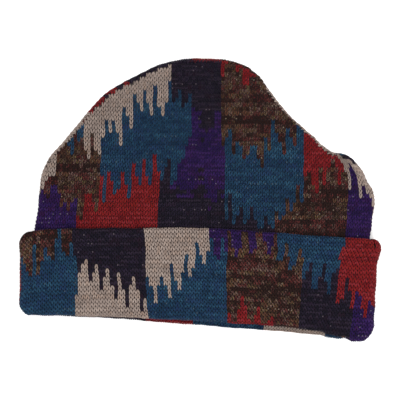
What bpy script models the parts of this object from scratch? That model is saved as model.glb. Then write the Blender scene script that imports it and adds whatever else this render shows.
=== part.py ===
"""Knitted beanie with a turned-up cuff, lying flat on its back.

Metres. +X runs along the cuff to the right, +Y from the mouth up to the crown's top, +Z up
from the surface that the beanie lies on. The origin is under the middle of the beanie.
"""

import math

import bmesh
import bpy
import numpy as np

MM = 0.001

# Driving dimensions, in millimetres
CUFF_LEFT = -124.6
CUFF_RIGHT = 122.6
WALL = 3.0
SEWN_GAP = 0.5
LAYER_GAP = 0.6

# The cuff's rounded side, seen along Y
CUFF_SEAM_HEIGHT = 7.8
CUFF_SIDE_REACH = 8.4
CUFF_SIDE_RISE = 8.0
CUFF_DOME = 8.5
CUFF_FLATNESS = 4
CUFF_BULGE = 0.9
FOLD_LEG = 11.0
SHOW_FADE = 18.0

# The crown's rounded side: reach in from the outline and rise above the seam
CROWN_SEAM_HEIGHT = 4.2
CROWN_SIDE_REACH = 4.4
CROWN_SIDE_RISE = 4.4
CROWN_DOME = 8.2
CROWN_DOME_REACH = 26.0
CROWN_DOME_ROUNDNESS = 1.5
SWELL_FADE = 10.0
CUFF_ZONE_DOME = 14.0

# How far above the cuff's top edge each crown panel settles to its own height
FRONT_SETTLE = 24.0
BACK_SETTLE = 16.0
SLIDE_UNDER = 3.0

# Mesh density
CROWN_COLUMNS = 28
CROWN_ROWS = 17
CURVE_STEPS = 8
ARCH_START = 0.1
SIDE_STEPS = 4
RIM_ROW = 0.012
CUFF_COLUMNS = 26
FACE_STEPS = 6
CAP_STEPS = 2
FOLD_STEPS = 5

# The crown's outline, anticlockwise from the mouth's left end over the top. show_back is
# how far the back panel rolls round into view past the front panel.
CROWN_OUTLINE = (
    # x, y, show_back
    (-119.4, -64.0, 0.0),
    (-117.2, -43.0, 0.0),
    (-115.2, -22.8, 0.0),
    (-112.2, -4.8, 0.0),
    (-110.3, 12.4, 0.3),
    (-105.8, 26.4, 0.6),
    (-93.8, 40.6, 0.8),
    (-79.8, 57.6, 1.2),
    (-65.2, 73.2, 2.4),
    (-42.8, 86.0, 2.2),
    (-23.5, 94.4, 2.0),
    (0.0, 97.4, 1.6),
    (24.9, 94.9, 0.5),
    (39.4, 86.8, 0.5),
    (50.2, 72.4, 1.0),
    (66.2, 54.0, 0.5),
    (81.0, 40.2, 0.7),
    (90.4, 33.0, 1.6),
    (100.4, 31.2, 2.6),
    (109.2, 23.8, 1.4),
    (116.4, 11.6, 0.4),
    (120.8, 2.0, 0.4),
    (119.9, -12.5, 0.0),
    (117.6, -30.0, 0.0),
    (115.2, -82.0, 0.0),
)
LEFT_CORNER = 5
RIGHT_CORNER = 19

# The cuff's edges. show_back is how far the back's fold lies past the front's.
CUFF_EDGES = (
    # x, top, bottom, show_back
    (-124.6, -21.8, -79.1, 0.0),
    (-107.0, -21.2, -80.3, 0.5),
    (-69.0, -20.6, -81.2, 1.0),
    (-34.5, -20.4, -82.4, 2.2),
    (0.0, -20.2, -83.8, 3.6),
    (34.5, -22.2, -86.8, 3.6),
    (69.0, -25.4, -89.4, 4.2),
    (100.0, -27.2, -96.0, 1.6),
    (122.6, -28.2, -99.6, 0.0),
)

TOP, BOTTOM, SHOW_BACK = 1, 2, 3
EDGE_SMOOTHING = 14.0

# The cuff's right side stands out at the top, where the seam's end makes a small knob.
RIGHT_SIDE = (
    # share of the cuff's height, stands out
    (0.0, -2.6),
    (0.35, -1.2),
    (0.75, 0.0),
    (0.90, 2.9),
    (1.0, 2.2),
)

# How far the side seam rolls up onto the front, in degrees round the cuff's side
SIDE_SEAM = (
    # share of the cuff's height, left, right
    (0.0, 4.0, 4.0),
    (0.3, 22.0, 6.0),
    (0.7, 22.0, 8.0),
    (0.86, 8.0, 34.0),
    (1.0, 4.0, 46.0),
)

# The cuff's rounded corners: radius
TOP_LEFT_CORNER = 7.5
TOP_RIGHT_CORNER = 4.0
BOTTOM_LEFT_CORNER = 4.5
BOTTOM_RIGHT_CORNER = 8.5

# Soft swells (positive) and dents (negative) of the crown's front
CROWN_SWELLS = (
    # x, y, long reach, cross reach, turn, height
    (110.0, 4.0, 27.0, 13.0, 100.0, 3.6),
    (97.5, 22.0, 20.0, 5.5, 122.0, -2.6),
    (84.0, -13.5, 26.0, 5.0, -4.0, 2.0),
    (85.0, -20.5, 26.0, 3.4, -5.0, -1.2),
    (-86.0, 30.0, 34.0, 12.0, 52.0, 1.0),
    (-30.0, 40.0, 50.0, 18.0, 12.0, 0.9),
    (28.0, 20.0, 46.0, 14.0, 68.0, -0.9),
    (56.0, 40.0, 30.0, 12.0, -44.0, 0.8),
    (-60.0, 2.0, 30.0, 14.0, -8.0, -0.8),
)

# Long, low waves along the cuff
CUFF_WAVES = (
    # wave length, height, start
    (94.0, 0.55, 20.0),
    (151.0, 0.50, -35.0),
)

# Yarn colours, as the linear mean of each piece's knit
PIECE_COLOURS = {
    "crown_front": (0.052, 0.034, 0.045),
    "crown_back": (0.060, 0.030, 0.040),
    "cuff_front": (0.062, 0.050, 0.056),
    "cuff_back": (0.058, 0.034, 0.044),
}
KNIT_ROUGHNESS = 0.95


def clear_scene():
    for old in list(bpy.data.objects):
        bpy.data.objects.remove(old, do_unlink=True)


def smoothstep(low, high, value):
    t = np.clip((value - low) / (high - low), 0.0, 1.0)
    return t * t * (3.0 - 2.0 * t)


def smooth_curve(points, steps):
    """A Catmull-Rom curve through points, with steps stretches from each to the next."""
    rows = np.array(points, float)
    first = 2.0 * rows[0] - rows[1]
    last = 2.0 * rows[-1] - rows[-2]
    rows = np.vstack([first, rows, last])
    out = []
    for a, b, c, d in zip(rows[:-3], rows[1:-2], rows[2:-1], rows[3:]):
        for t in np.arange(steps) / steps:
            out.append(0.5 * (2 * b + (c - a) * t + (2 * a - 5 * b + 4 * c - d) * t**2
                              + (3 * b - a - 3 * c + d) * t**3))
    out.append(rows[-2])
    return np.array(out)


def resampled(curve, count):
    """count + 1 points at even distances along a curve whose first two columns are x and y."""
    lengths = np.linalg.norm(np.diff(curve[:, :2], axis=0), axis=1)
    along = np.concatenate([[0.0], np.cumsum(lengths)])
    at = np.linspace(0.0, along[-1], count + 1)
    return np.stack([np.interp(at, along, column) for column in curve.T], axis=1)


def table_value(table, at, column):
    """A column of a table read between its rows, whose first column is the place."""
    rows = np.array(table, float)
    return np.interp(at, rows[:, 0], rows[:, column])


def cuff_edge(x, column):
    """The cuff's top, bottom or show_back at x, smoothed across the table's rows."""
    shifts = (-EDGE_SMOOTHING, 0.0, EDGE_SMOOTHING)
    return sum(table_value(CUFF_EDGES, x + shift, column) for shift in shifts) / len(shifts)


def cuff_front_height(x):
    """Height of the cuff's outer face above the surface, away from its rounded sides."""
    middle = 0.5 * (CUFF_LEFT + CUFF_RIGHT)
    half = 0.5 * (CUFF_RIGHT - CUFF_LEFT) - CUFF_SIDE_REACH
    share = np.clip(np.abs(x - middle) / half, 0.0, 1.0)
    dome = (1.0 - share**CUFF_FLATNESS) ** 2
    wave = sum(h * np.sin(2 * np.pi * (x - start) / length) for length, h, start in CUFF_WAVES)
    return CUFF_SEAM_HEIGHT + CUFF_SIDE_RISE + dome * (CUFF_DOME + wave)


def in_cuff(x, y, settle):
    """1 where the crown lies inside the cuff, falling to 0 within settle above its top edge."""
    return 1.0 - smoothstep(0.0, settle, y - cuff_edge(x, TOP))


# The crown's panels

def outline_distance(x, y, outline):
    """Distance from each point to the outline's nearest stretch."""
    start = outline[:-1, :2]
    run = outline[1:, :2] - start
    point = np.stack([np.ravel(x), np.ravel(y)], axis=1)
    best = np.full(len(point), np.inf)
    for s, r in zip(start, run):
        t = np.clip(((point - s) @ r) / (r @ r), 0.0, 1.0)
        best = np.minimum(best, np.linalg.norm(point - s - t[:, None] * r, axis=1))
    return best.reshape(np.shape(x))


def swell(x, y, table):
    """Sum of the table's soft mounds and dents, each an oval turned in plan."""
    total = np.zeros(np.shape(x))
    for cx, cy, along, across, turn, height in table:
        c, s = math.cos(math.radians(turn)), math.sin(math.radians(turn))
        u = ((x - cx) * c + (y - cy) * s) / along
        v = ((y - cy) * c - (x - cx) * s) / across
        total = total + height * np.exp(-(u * u + v * v))
    return total


def crown_front_height(x, y, distance):
    """Height of the front panel's outer face, inside its rounded side."""
    inner = np.maximum(distance - CROWN_SIDE_REACH, 0.0)
    pillow = 1.0 - np.exp(-((inner / CROWN_DOME_REACH) ** CROWN_DOME_ROUNDNESS))
    under = in_cuff(x, y, FRONT_SETTLE)
    seam = crown_seam_height(x, y)
    free = seam + CROWN_SIDE_RISE + pillow * CROWN_DOME
    free = free + swell(x, y, CROWN_SWELLS) * smoothstep(0.0, SWELL_FADE, distance)
    tucked = seam + CROWN_SIDE_RISE + pillow * CUFF_ZONE_DOME
    ceiling = cuff_front_height(x) - WALL - LAYER_GAP
    tucked = np.minimum(tucked, ceiling)
    hidden = 1.0 - smoothstep(-SLIDE_UNDER, SLIDE_UNDER, y - cuff_edge(x, TOP))
    height = free + (tucked - free) * under
    return height + (np.minimum(height, ceiling) - height) * hidden


def crown_back_height(x, y):
    """Height of the back panel's under face above the surface it lies on."""
    return (WALL + LAYER_GAP) * in_cuff(x, y, BACK_SETTLE)


def crown_seam_height(x, y):
    """Height of the sewn seam, which climbs where the crown slides into the cuff."""
    raised = CUFF_SEAM_HEIGHT - CROWN_SEAM_HEIGHT
    return CROWN_SEAM_HEIGHT + raised * in_cuff(x, y, FRONT_SETTLE)


def crown_chain():
    """Outline points in order round the crown: the grid's left, top and right sides."""
    curve = smooth_curve(CROWN_OUTLINE, CURVE_STEPS)
    left_end = LEFT_CORNER * CURVE_STEPS
    right_end = RIGHT_CORNER * CURVE_STEPS
    left = resampled(curve[:left_end + 1], CROWN_ROWS)
    top = resampled(curve[left_end:right_end + 1], CROWN_COLUMNS)
    right = resampled(curve[right_end:], CROWN_ROWS)
    return np.vstack([left[:-1], top[:-1], right]), curve


def inward_normals(chain):
    """Unit steps in plan from the outline towards the crown's inside."""
    along = np.gradient(chain[:, :2], axis=0)
    along /= np.linalg.norm(along, axis=1)[:, None]
    inward = np.stack([along[:, 1], -along[:, 0]], axis=1)
    inward[0] = (1.0, 0.0)
    inward[-1] = (-1.0, 0.0)
    return inward


def mouth_line(x):
    """Y of the crown panels' lower edge, where they meet the inside of the cuff's fold."""
    return cuff_edge(x, BOTTOM) + fold_radius() + FOLD_LEG + SEWN_GAP


def mouth_line_back(x):
    return mouth_line(x) - back_shows(x)


def back_shows(x):
    """How far the cuff's back fold lies past the front's, none at the side seams."""
    ends = smoothstep(0.0, SHOW_FADE, x - CUFF_LEFT) * smoothstep(0.0, SHOW_FADE, CUFF_RIGHT - x)
    return cuff_edge(x, SHOW_BACK) * ends


def fold_radius():
    return WALL + 0.5 * LAYER_GAP


def crown_grid(border, lower_edge):
    """Grid of x, y inside the bordering chain: even rows in the cuff, arched above it."""
    left = border[:CROWN_ROWS + 1]
    top = border[CROWN_ROWS:CROWN_ROWS + CROWN_COLUMNS + 1]
    right = border[CROWN_ROWS + CROWN_COLUMNS:][::-1]
    across = np.linspace(0.0, 1.0, CROWN_COLUMNS + 1)
    bottom_x = left[0, 0] + (right[0, 0] - left[0, 0]) * across
    bottom = np.stack([bottom_x, lower_edge(bottom_x)], axis=1)
    bottom[0] = left[0]
    bottom[-1] = right[0]
    grid = np.zeros((CROWN_ROWS + 1, CROWN_COLUMNS + 1, 2))
    for row in range(CROWN_ROWS + 1):
        share = row / CROWN_ROWS
        arch = float(smoothstep(ARCH_START, 1.0, share))
        for column, u in enumerate(across):
            cross = bottom[column] * (1 - arch) + top[column] * arch
            side = left[row] * (1 - u) + right[row] * u
            corner = ((left[0] * (1 - arch) + top[0] * arch) * (1 - u)
                      + (right[0] * (1 - arch) + top[-1] * arch) * u)
            grid[row, column] = cross + side - corner
    return grid


def seam_roll(chain):
    """Turn of the seam round the crown's side, 0 at its widest line, for what the back shows."""
    return np.arccos(np.clip(1.0 - chain[:, 2] / CROWN_SIDE_REACH, -1.0, 1.0))


def side_shares(front):
    """Shares of the way from the seam to the flat: a narrow first row keeps the rim square."""
    steps = SIDE_STEPS if front else SIDE_STEPS + 2
    return [0.0, RIM_ROW] + [k / steps for k in range(1, steps)]


def crown_panel(name, front):
    """One panel of the crown: a grid with its rounded side as a strip round three edges."""
    chain, curve = crown_chain()
    inward = inward_normals(chain)
    border = chain[:, :2] + inward * CROWN_SIDE_REACH
    grid = crown_grid(border, mouth_line if front else mouth_line_back)
    mesh = bmesh.new()

    distance = outline_distance(grid[..., 0], grid[..., 1], curve)
    if front:
        heights = crown_front_height(grid[..., 0], grid[..., 1], distance)
    else:
        heights = crown_back_height(grid[..., 0], grid[..., 1])
    inside = [[mesh.verts.new((x * MM, y * MM, z * MM)) for (x, y), z in zip(row, zs)]
              for row, zs in zip(grid, heights)]
    rim = ([row[0] for row in inside[:-1]] + inside[-1][:-1] + [row[-1] for row in inside[::-1]])
    rim_height = np.array([v.co.z / MM for v in rim])

    seam = crown_seam_height(chain[:, 0], chain[:, 1])
    reach = np.full(len(border), CROWN_SIDE_REACH)
    rise = crown_front_height(border[:, 0], border[:, 1], reach) - seam
    drop = seam - rim_height
    roll = seam_roll(chain)
    end = 0.5 * math.pi if front else -0.5 * math.pi
    seam_run = np.stack([CROWN_SIDE_REACH * np.sin(roll), CROWN_SIDE_RISE * np.cos(roll)])
    apart = 0.5 * SEWN_GAP * seam_run / np.linalg.norm(seam_run, axis=0) * (1 if front else -1)
    strips = []
    for share in side_shares(front):
        turn = roll + (end - roll) * share
        inset = CROWN_SIDE_REACH * (1.0 - np.cos(turn)) + apart[0] * (1.0 - share)
        high = seam + np.where(turn > 0.0, rise, drop) * np.sin(turn) + apart[1] * (1.0 - share)
        at = chain[:, :2] + inward * inset[:, None]
        strips.append([mesh.verts.new((x * MM, y * MM, z * MM)) for (x, y), z in zip(at, high)])
    strips.append(rim)

    for low, high in zip(inside[:-1], inside[1:]):
        for a, b, c, d in zip(low[:-1], low[1:], high[1:], high[:-1]):
            mesh.faces.new((a, b, c, d) if front else (d, c, b, a))
    for outer, inner in zip(strips[:-1], strips[1:]):
        for a, b, c, d in zip(outer[:-1], outer[1:], inner[1:], inner[:-1]):
            mesh.faces.new((d, c, b, a) if front else (a, b, c, d))

    body = new_object(name, mesh)
    wall = body.modifiers.new("wall", "SOLIDIFY")
    wall.thickness = WALL * MM
    wall.offset = -1.0
    wall.use_even_offset = True
    wall.use_quality_normals = True
    return body


# The cuff

def cuff_section(top, bottom, leg_y, bulge):
    """The cuff's J in section as (y, outer depth, y, inner depth) rows from its top edge.

    Depth is 0 on the outer face and less inside the wall. The first row is the edge's tip.
    """
    half = 0.5 * WALL
    radius = fold_radius()
    fold_y = bottom + radius
    cap_y = top - half
    rows = []
    for k in range(CAP_STEPS):
        turn = 0.5 * math.pi * k / CAP_STEPS
        y = cap_y + half * math.cos(turn)
        rows.append((y, -half + half * math.sin(turn), y, -half - half * math.sin(turn)))
    for k in range(FACE_STEPS):
        share = k / FACE_STEPS
        y = cap_y + (fold_y - cap_y) * share
        swelled = bulge * math.sin(math.pi * share)
        rows.append((y, swelled, y, swelled - WALL))
    for k in range(FOLD_STEPS + 1):
        turn = math.pi * k / FOLD_STEPS
        inner = 0.5 * LAYER_GAP
        rows.append((fold_y - radius * math.sin(turn), -radius + radius * math.cos(turn),
                     fold_y - inner * math.sin(turn), -radius + inner * math.cos(turn)))
    rows.append((leg_y, -2.0 * radius, leg_y, -2.0 * radius + WALL))
    return rows


def corner_drop(inset, radius):
    """How far a rounded corner takes an edge back at this distance in from the side."""
    left = max(radius - inset, 0.0)
    return radius - math.sqrt(radius * radius - left * left)


def side_station(side, turn):
    """Inset, height and outward direction on the cuff's rounded side, turn in radians."""
    rise = CUFF_SIDE_RISE if turn > 0.0 else CUFF_SEAM_HEIGHT
    inset = CUFF_SIDE_REACH * (1.0 - math.cos(turn))
    height = CUFF_SEAM_HEIGHT + rise * math.sin(turn)
    out_x = math.cos(turn) * rise
    out_z = math.sin(turn) * CUFF_SIDE_REACH
    size = math.hypot(out_x, out_z)
    return inset, height, side * out_x / size, out_z / size


def cuff_stations(front):
    """Stations round one half of the cuff: (side or 0, share of that stretch)."""
    steps = SIDE_STEPS + (1 if front else 2)
    left = [(-1, k / steps) for k in range(steps)]
    middle = [(0, k / CUFF_COLUMNS) for k in range(CUFF_COLUMNS + 1)]
    right = [(1, 1.0 - k / steps) for k in range(1, steps + 1)]
    return left + middle + right


def cuff_point(front, side, share, y, depth):
    """A point of the cuff's wall, at a depth of 0 on its outer face and less inside it."""
    edge_x = CUFF_LEFT if side < 0 else CUFF_RIGHT
    low, high = float(cuff_edge(edge_x, BOTTOM)), float(cuff_edge(edge_x, TOP))
    height_share = (y - low) / (high - low)
    stand_out = float(table_value(RIGHT_SIDE, height_share, 1))
    left_x, right_x = CUFF_LEFT, CUFF_RIGHT + stand_out
    if side:
        roll = float(table_value(SIDE_SEAM, height_share, 1 if side < 0 else 2))
        half_gap = math.degrees(0.5 * SEWN_GAP / CUFF_SIDE_REACH)
        start = roll + half_gap if front else roll - half_gap
        end = 90.0 if front else -90.0
        turn = math.radians(start + (end - start) * share)
        inset, height, out_x, out_z = side_station(side, turn)
        edge = left_x if side < 0 else right_x
        x = edge - side * inset
    else:
        x = left_x + CUFF_SIDE_REACH + share * (right_x - left_x - 2 * CUFF_SIDE_REACH)
        rest_x = CUFF_LEFT + CUFF_SIDE_REACH + share * (CUFF_RIGHT - CUFF_LEFT - 2 * CUFF_SIDE_REACH)
        height = float(cuff_front_height(np.array(rest_x))) if front else 0.0
        out_x = 0.0
        out_z = 1.0 if front else -1.0
    return ((x + out_x * depth) * MM, y * MM, (height + out_z * depth) * MM)


def cuff_half(name, front):
    """Front or back of the cuff: its J section carried round from one side seam to the other."""
    mesh = bmesh.new()
    rings = []
    for side, share in cuff_stations(front):
        if side:
            inset = CUFF_SIDE_REACH * (1.0 - math.cos(0.5 * math.pi * share))
            x = CUFF_LEFT + inset if side < 0 else CUFF_RIGHT - inset
        else:
            x = CUFF_LEFT + CUFF_SIDE_REACH + share * (CUFF_RIGHT - CUFF_LEFT - 2 * CUFF_SIDE_REACH)
        from_left, from_right = x - CUFF_LEFT, CUFF_RIGHT - x
        top = float(cuff_edge(x, TOP))
        top -= corner_drop(from_left, TOP_LEFT_CORNER) + corner_drop(from_right, TOP_RIGHT_CORNER)
        bottom = float(cuff_edge(x, BOTTOM))
        if not front:
            bottom -= float(back_shows(x))
        leg_y = bottom + fold_radius() + FOLD_LEG
        bottom += corner_drop(from_left, BOTTOM_LEFT_CORNER)
        bottom += corner_drop(from_right, BOTTOM_RIGHT_CORNER)
        bulge = CUFF_BULGE if front and not side else 0.0
        section = cuff_section(top, bottom, leg_y, bulge)
        outer = [mesh.verts.new(cuff_point(front, side, share, y, n)) for y, n, _, _ in section]
        inner = [mesh.verts.new(cuff_point(front, side, share, y, n)) for _, _, y, n in section[1:]]
        rings.append((outer, inner))
    for (near_out, near_in), (far_out, far_in) in zip(rings[:-1], rings[1:]):
        near = near_out + near_in[::-1]
        far = far_out + far_in[::-1]
        for k in range(len(near)):
            m = (k + 1) % len(near)
            mesh.faces.new((near[k], near[m], far[m], far[k]))
    for outer, inner in (rings[0], rings[-1]):
        mesh.faces.new((outer[0], outer[1], inner[0]))
        for k in range(1, len(inner)):
            mesh.faces.new((outer[k], outer[k + 1], inner[k], inner[k - 1]))
    bmesh.ops.recalc_face_normals(mesh, faces=mesh.faces)
    return new_object(name, mesh)


# Objects and materials

def new_object(name, mesh):
    data = bpy.data.meshes.new(name)
    mesh.to_mesh(data)
    mesh.free()
    body = bpy.data.objects.new(name, data)
    BEANIE.objects.link(body)
    data.shade_smooth()
    data.set_sharp_from_angle(angle=math.radians(50.0))
    data.materials.append(knit_material(name))
    return body


def knit_material(name):
    material = bpy.data.materials.new(name + "_knit")
    material.use_nodes = True
    shader = material.node_tree.nodes["Principled BSDF"]
    shader.inputs["Base Color"].default_value = (*PIECE_COLOURS[name], 1.0)
    shader.inputs["Roughness"].default_value = KNIT_ROUGHNESS
    shader.inputs["Metallic"].default_value = 0.0
    return material


def centre_over_origin():
    """Shifts every mesh so that the beanie's box is centred on the origin, in plan."""
    corners = []
    for body in BEANIE.objects:
        evaluated = body.evaluated_get(bpy.context.evaluated_depsgraph_get())
        corners += [corner[:] for corner in evaluated.bound_box]
    box = np.array(corners)
    middle = 0.5 * (box.min(axis=0) + box.max(axis=0))
    for body in BEANIE.objects:
        for vertex in body.data.vertices:
            vertex.co.x -= middle[0]
            vertex.co.y -= middle[1]


clear_scene()
BEANIE = bpy.data.collections.new("beanie")
bpy.context.scene.collection.children.link(BEANIE)
crown_panel("crown_front", True)
crown_panel("crown_back", False)
cuff_half("cuff_front", True)
cuff_half("cuff_back", False)
centre_over_origin()
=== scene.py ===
"""Looks of the knitted beanie: its knit walls, every stitch on them, the sewn seams, and the
floor, light and camera.

Sizes are in millimetres until a mesh is made. X runs along the cuff, Y from the mouth to the
crown's top, Z up from the surface that the beanie lies on.
"""

import math

import bmesh
import bpy
import numpy as np
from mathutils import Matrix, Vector


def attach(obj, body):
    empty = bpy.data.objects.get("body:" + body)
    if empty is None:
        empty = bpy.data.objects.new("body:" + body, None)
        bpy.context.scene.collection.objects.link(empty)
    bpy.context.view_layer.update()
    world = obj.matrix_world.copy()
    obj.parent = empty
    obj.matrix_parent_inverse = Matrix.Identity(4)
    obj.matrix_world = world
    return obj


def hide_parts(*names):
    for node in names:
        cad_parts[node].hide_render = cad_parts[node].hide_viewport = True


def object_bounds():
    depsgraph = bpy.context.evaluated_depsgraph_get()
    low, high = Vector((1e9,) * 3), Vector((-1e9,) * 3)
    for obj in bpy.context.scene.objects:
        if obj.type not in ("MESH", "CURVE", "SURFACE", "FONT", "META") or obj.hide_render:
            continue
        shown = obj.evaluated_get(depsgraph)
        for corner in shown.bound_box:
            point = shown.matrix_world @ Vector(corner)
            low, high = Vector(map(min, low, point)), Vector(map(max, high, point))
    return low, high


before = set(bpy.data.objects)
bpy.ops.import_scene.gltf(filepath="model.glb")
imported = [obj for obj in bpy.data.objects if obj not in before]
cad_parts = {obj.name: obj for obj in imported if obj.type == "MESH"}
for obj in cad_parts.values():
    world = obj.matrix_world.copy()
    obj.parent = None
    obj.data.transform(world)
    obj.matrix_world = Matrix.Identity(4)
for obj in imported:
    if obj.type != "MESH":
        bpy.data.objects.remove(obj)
cad_low, cad_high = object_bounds()

MM = 0.001

# Camera, straight above: the picture's width in millimetres, and its middle
PICTURE_WIDTH = 276.2
PICTURE_MIDDLE = (-0.2, -0.3)
LENS = 500.0
SENSOR = 36.0
FOCUS_HEIGHT = 14.0

# What the camera sees, in metres from it
NEAREST = 0.05
FARTHEST = 20.0


def new_object(name, data):
    """An object of this data, put in the scene."""
    made = bpy.data.objects.new(name, data)
    bpy.context.scene.collection.objects.link(made)
    return made


def add_camera():
    camera = new_object("camera", bpy.data.cameras.new("camera"))
    camera.data.lens = LENS
    camera.data.sensor_width = SENSOR
    camera.data.dof.use_dof = False
    height = PICTURE_WIDTH * LENS / SENSOR + FOCUS_HEIGHT
    camera.location = (PICTURE_MIDDLE[0] * MM, PICTURE_MIDDLE[1] * MM, height * MM)
    camera.data.clip_start = NEAREST
    camera.data.clip_end = FARTHEST
    bpy.context.scene.camera = camera


add_camera()

# The beanie's form, as the part's source gives it
CUFF_LEFT = -124.6
CUFF_RIGHT = 122.6
WALL = 3.0
SEWN_GAP = 0.5
LAYER_GAP = 0.6
CUFF_SEAM_HEIGHT = 7.8
CUFF_SIDE_REACH = 8.4
CUFF_SIDE_RISE = 8.0
CUFF_DOME = 8.5
CUFF_FLATNESS = 4
CUFF_BULGE = 0.9
FOLD_LEG = 11.0
SHOW_FADE = 18.0
CROWN_SEAM_HEIGHT = 4.2
CROWN_SIDE_REACH = 4.4
CROWN_SIDE_RISE = 4.4
CROWN_DOME = 8.2
CROWN_DOME_REACH = 26.0
CROWN_DOME_ROUNDNESS = 1.5
SWELL_FADE = 10.0
CUFF_ZONE_DOME = 14.0
FRONT_SETTLE = 24.0
BACK_SETTLE = 16.0
SLIDE_UNDER = 3.0
TOP_LEFT_CORNER = 7.5
TOP_RIGHT_CORNER = 3.2
BOTTOM_LEFT_CORNER = 4.5
BOTTOM_RIGHT_CORNER = 11.0
BOTTOM_RIGHT_FULLNESS = 2.7
EDGE_SMOOTHING = 14.0
TOP_LEFT_SLOPE = (
    # in from the left side, lower by
    (0.0, 0.0),
    (3.0, 0.8),
    (7.0, 1.5),
    (12.0, 0.8),
    (19.0, 0.0),
)
BOTTOM_RISE = (
    # x, higher by
    (-122.0, -0.9),
    (-108.0, -0.8),
    (-101.0, 0.0),
    (-94.0, 0.2),
    (-84.0, 0.0),
    (-72.0, -0.1),
    (-60.0, 0.0),
    (-53.0, 0.4),
    (-47.0, 0.2),
    (-38.0, -0.6),
    (-25.0, -0.3),
    (-10.0, -0.3),
    (-3.0, 0.3),
    (10.0, -0.2),
    (24.0, 0.2),
    (40.0, 0.2),
    (60.0, 0.6),
    (78.0, 0.9),
    (86.4, 1.0),
    (90.5, 0.2),
    (98.8, 0.4),
    (103.0, 1.6),
    (108.0, -0.7),
    (115.0, -0.8),
    (122.0, -0.2),
)
HALF_WALL = 0.5 * WALL
FOLD_RADIUS = WALL + 0.5 * LAYER_GAP

CROWN_OUTLINE = (
    # x, y, show_back
    (-119.4, -64.0, 0.0),
    (-117.2, -43.0, 0.0),
    (-114.8, -22.8, 0.0),
    (-111.9, -4.8, 0.0),
    (-110.3, 12.4, 0.3),
    (-105.6, 26.3, 0.6),
    (-93.6, 40.4, 1.8),
    (-79.5, 57.4, 2.1),
    (-65.0, 72.9, 2.4),
    (-42.6, 85.7, 2.2),
    (-23.4, 94.1, 2.0),
    (0.0, 97.1, 1.6),
    (24.7, 94.4, 0.5),
    (38.8, 86.6, 0.5),
    (45.4, 79.1, 0.7),
    (50.2, 71.2, 0.8),
    (57.1, 62.8, 0.6),
    (66.0, 54.2, 0.5),
    (81.0, 40.2, 0.7),
    (90.3, 32.7, 1.3),
    (95.5, 31.4, 1.6),
    (100.3, 30.9, 2.0),
    (109.2, 23.8, 0.9),
    (116.2, 11.5, 0.4),
    (120.5, 2.0, 0.4),
    (119.9, -12.5, 0.0),
    (117.6, -30.0, 0.0),
    (115.2, -82.0, 0.0),
)
LEFT_CORNER = 5
RIGHT_CORNER = 22

CUFF_EDGES = (
    # x, top, bottom, show_back
    (-124.6, -21.8, -79.1, 0.0),
    (-107.0, -21.2, -80.3, 0.5),
    (-69.0, -20.6, -81.2, 1.0),
    (-34.5, -20.4, -82.4, 2.2),
    (0.0, -20.2, -83.8, 3.6),
    (34.5, -22.2, -86.8, 3.6),
    (69.0, -25.4, -89.4, 4.2),
    (100.0, -27.2, -96.0, 1.6),
    (122.6, -28.2, -99.6, 0.0),
)
TOP, BOTTOM, SHOW_BACK = 1, 2, 3

RIGHT_SIDE = (
    # share of the cuff's height, stands out
    (0.0, -3.0),
    (0.35, -1.6),
    (0.75, -0.4),
    (0.90, 2.8),
    (1.0, 2.2),
)

# Above this share of its height the cuff's right seam opens in a notch; its ground is painted
# near-black there as the notch's shadow, over this share of the side's steps
NOTCH_FROM = 0.90
NOTCH_GAP = 1.5
NOTCH_SHARE = 0.3
NOTCH_PAINTED_SHADOW = 0.06

SIDE_SEAM = (
    # share of the cuff's height, left, right
    (0.0, 4.0, 4.0),
    (0.3, 22.0, 6.0),
    (0.7, 22.0, 8.0),
    (0.84, 8.0, 36.0),
    (0.90, 6.0, 56.0),
    (1.0, 4.0, 62.0),
)

CROWN_SWELLS = (
    # x, y, long reach, cross reach, turn, height
    (110.0, 4.0, 27.0, 13.0, 100.0, 3.6),
    (97.5, 22.0, 20.0, 5.5, 122.0, -2.6),
    (84.0, -13.5, 26.0, 5.0, -4.0, 2.0),
    (85.0, -20.5, 26.0, 3.4, -5.0, -1.2),
    (-86.0, 30.0, 34.0, 12.0, 52.0, 1.0),
    (-30.0, 40.0, 50.0, 18.0, 12.0, 0.9),
    (28.0, 20.0, 46.0, 14.0, 68.0, -0.9),
    (56.0, 40.0, 30.0, 12.0, -44.0, 0.8),
    (-60.0, 2.0, 30.0, 14.0, -8.0, -0.8),
)

CUFF_WAVES = (
    # wave length, height, start
    (94.0, 0.55, 20.0),
    (151.0, 0.50, -35.0),
)

SLACK_WAVES = (
    # wave length, turn, start, shift in x and in y
    (23.0, 20.0, 0.10, 0.12, 0.12),
    (17.0, 75.0, 0.55, 0.18, 0.08),
    (31.0, -40.0, 0.30, 0.12, 0.10),
    (12.5, 115.0, 0.80, 0.12, 0.09),
    (9.0, -10.0, 0.40, 0.06, 0.08),
)

# The knit: one wale is a column of stitches, one course a row
WALE = 2.46
COURSE = 3.0
FIRST_WALE_X = -124.3
FIRST_COURSE_Y = 98.1
STITCH_SINK = 0.7
WALL_STITCH_DEPTH = 0.7

# How the wales lean: on the cuff to the left as they go down, on the puffed right shoulder
# to the left as they go up
CUFF_LEAN = (
    # along from the cuff's middle, shift to the left for each millimetre down
    (-118.0, 0.0),
    (-86.0, -0.055),
    (-38.0, -0.070),
    (20.0, -0.045),
    (50.0, -0.015),
    (71.0, 0.015),
    (99.0, 0.075),
    (118.0, 0.060),
)
LEAN_DEPTH = 70.0
CROWN_LEAN = (
    # across the crown, shift to the right for each millimetre up from the cuff
    (-120.0, 0.10),
    (-86.0, 0.06),
    (-43.0, 0.0525),
    (-36.0, 0.034),
    (-29.0, 0.05),
    (-6.0, 0.03),
    (12.0, 0.0),
    (45.0, 0.0),
    (72.0, 0.01),
    (100.0, 0.06),
    (120.0, 0.06),
)
LEAN_FROM_Y = -24.0
LEAN_CLIMB = 56.0
SHOULDER_BEND = 0.026
SHOULDER_FROM_X = 90.0
SHOULDER_TO_X = 116.0
SHOULDER_FROM_Y = 5.0
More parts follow.
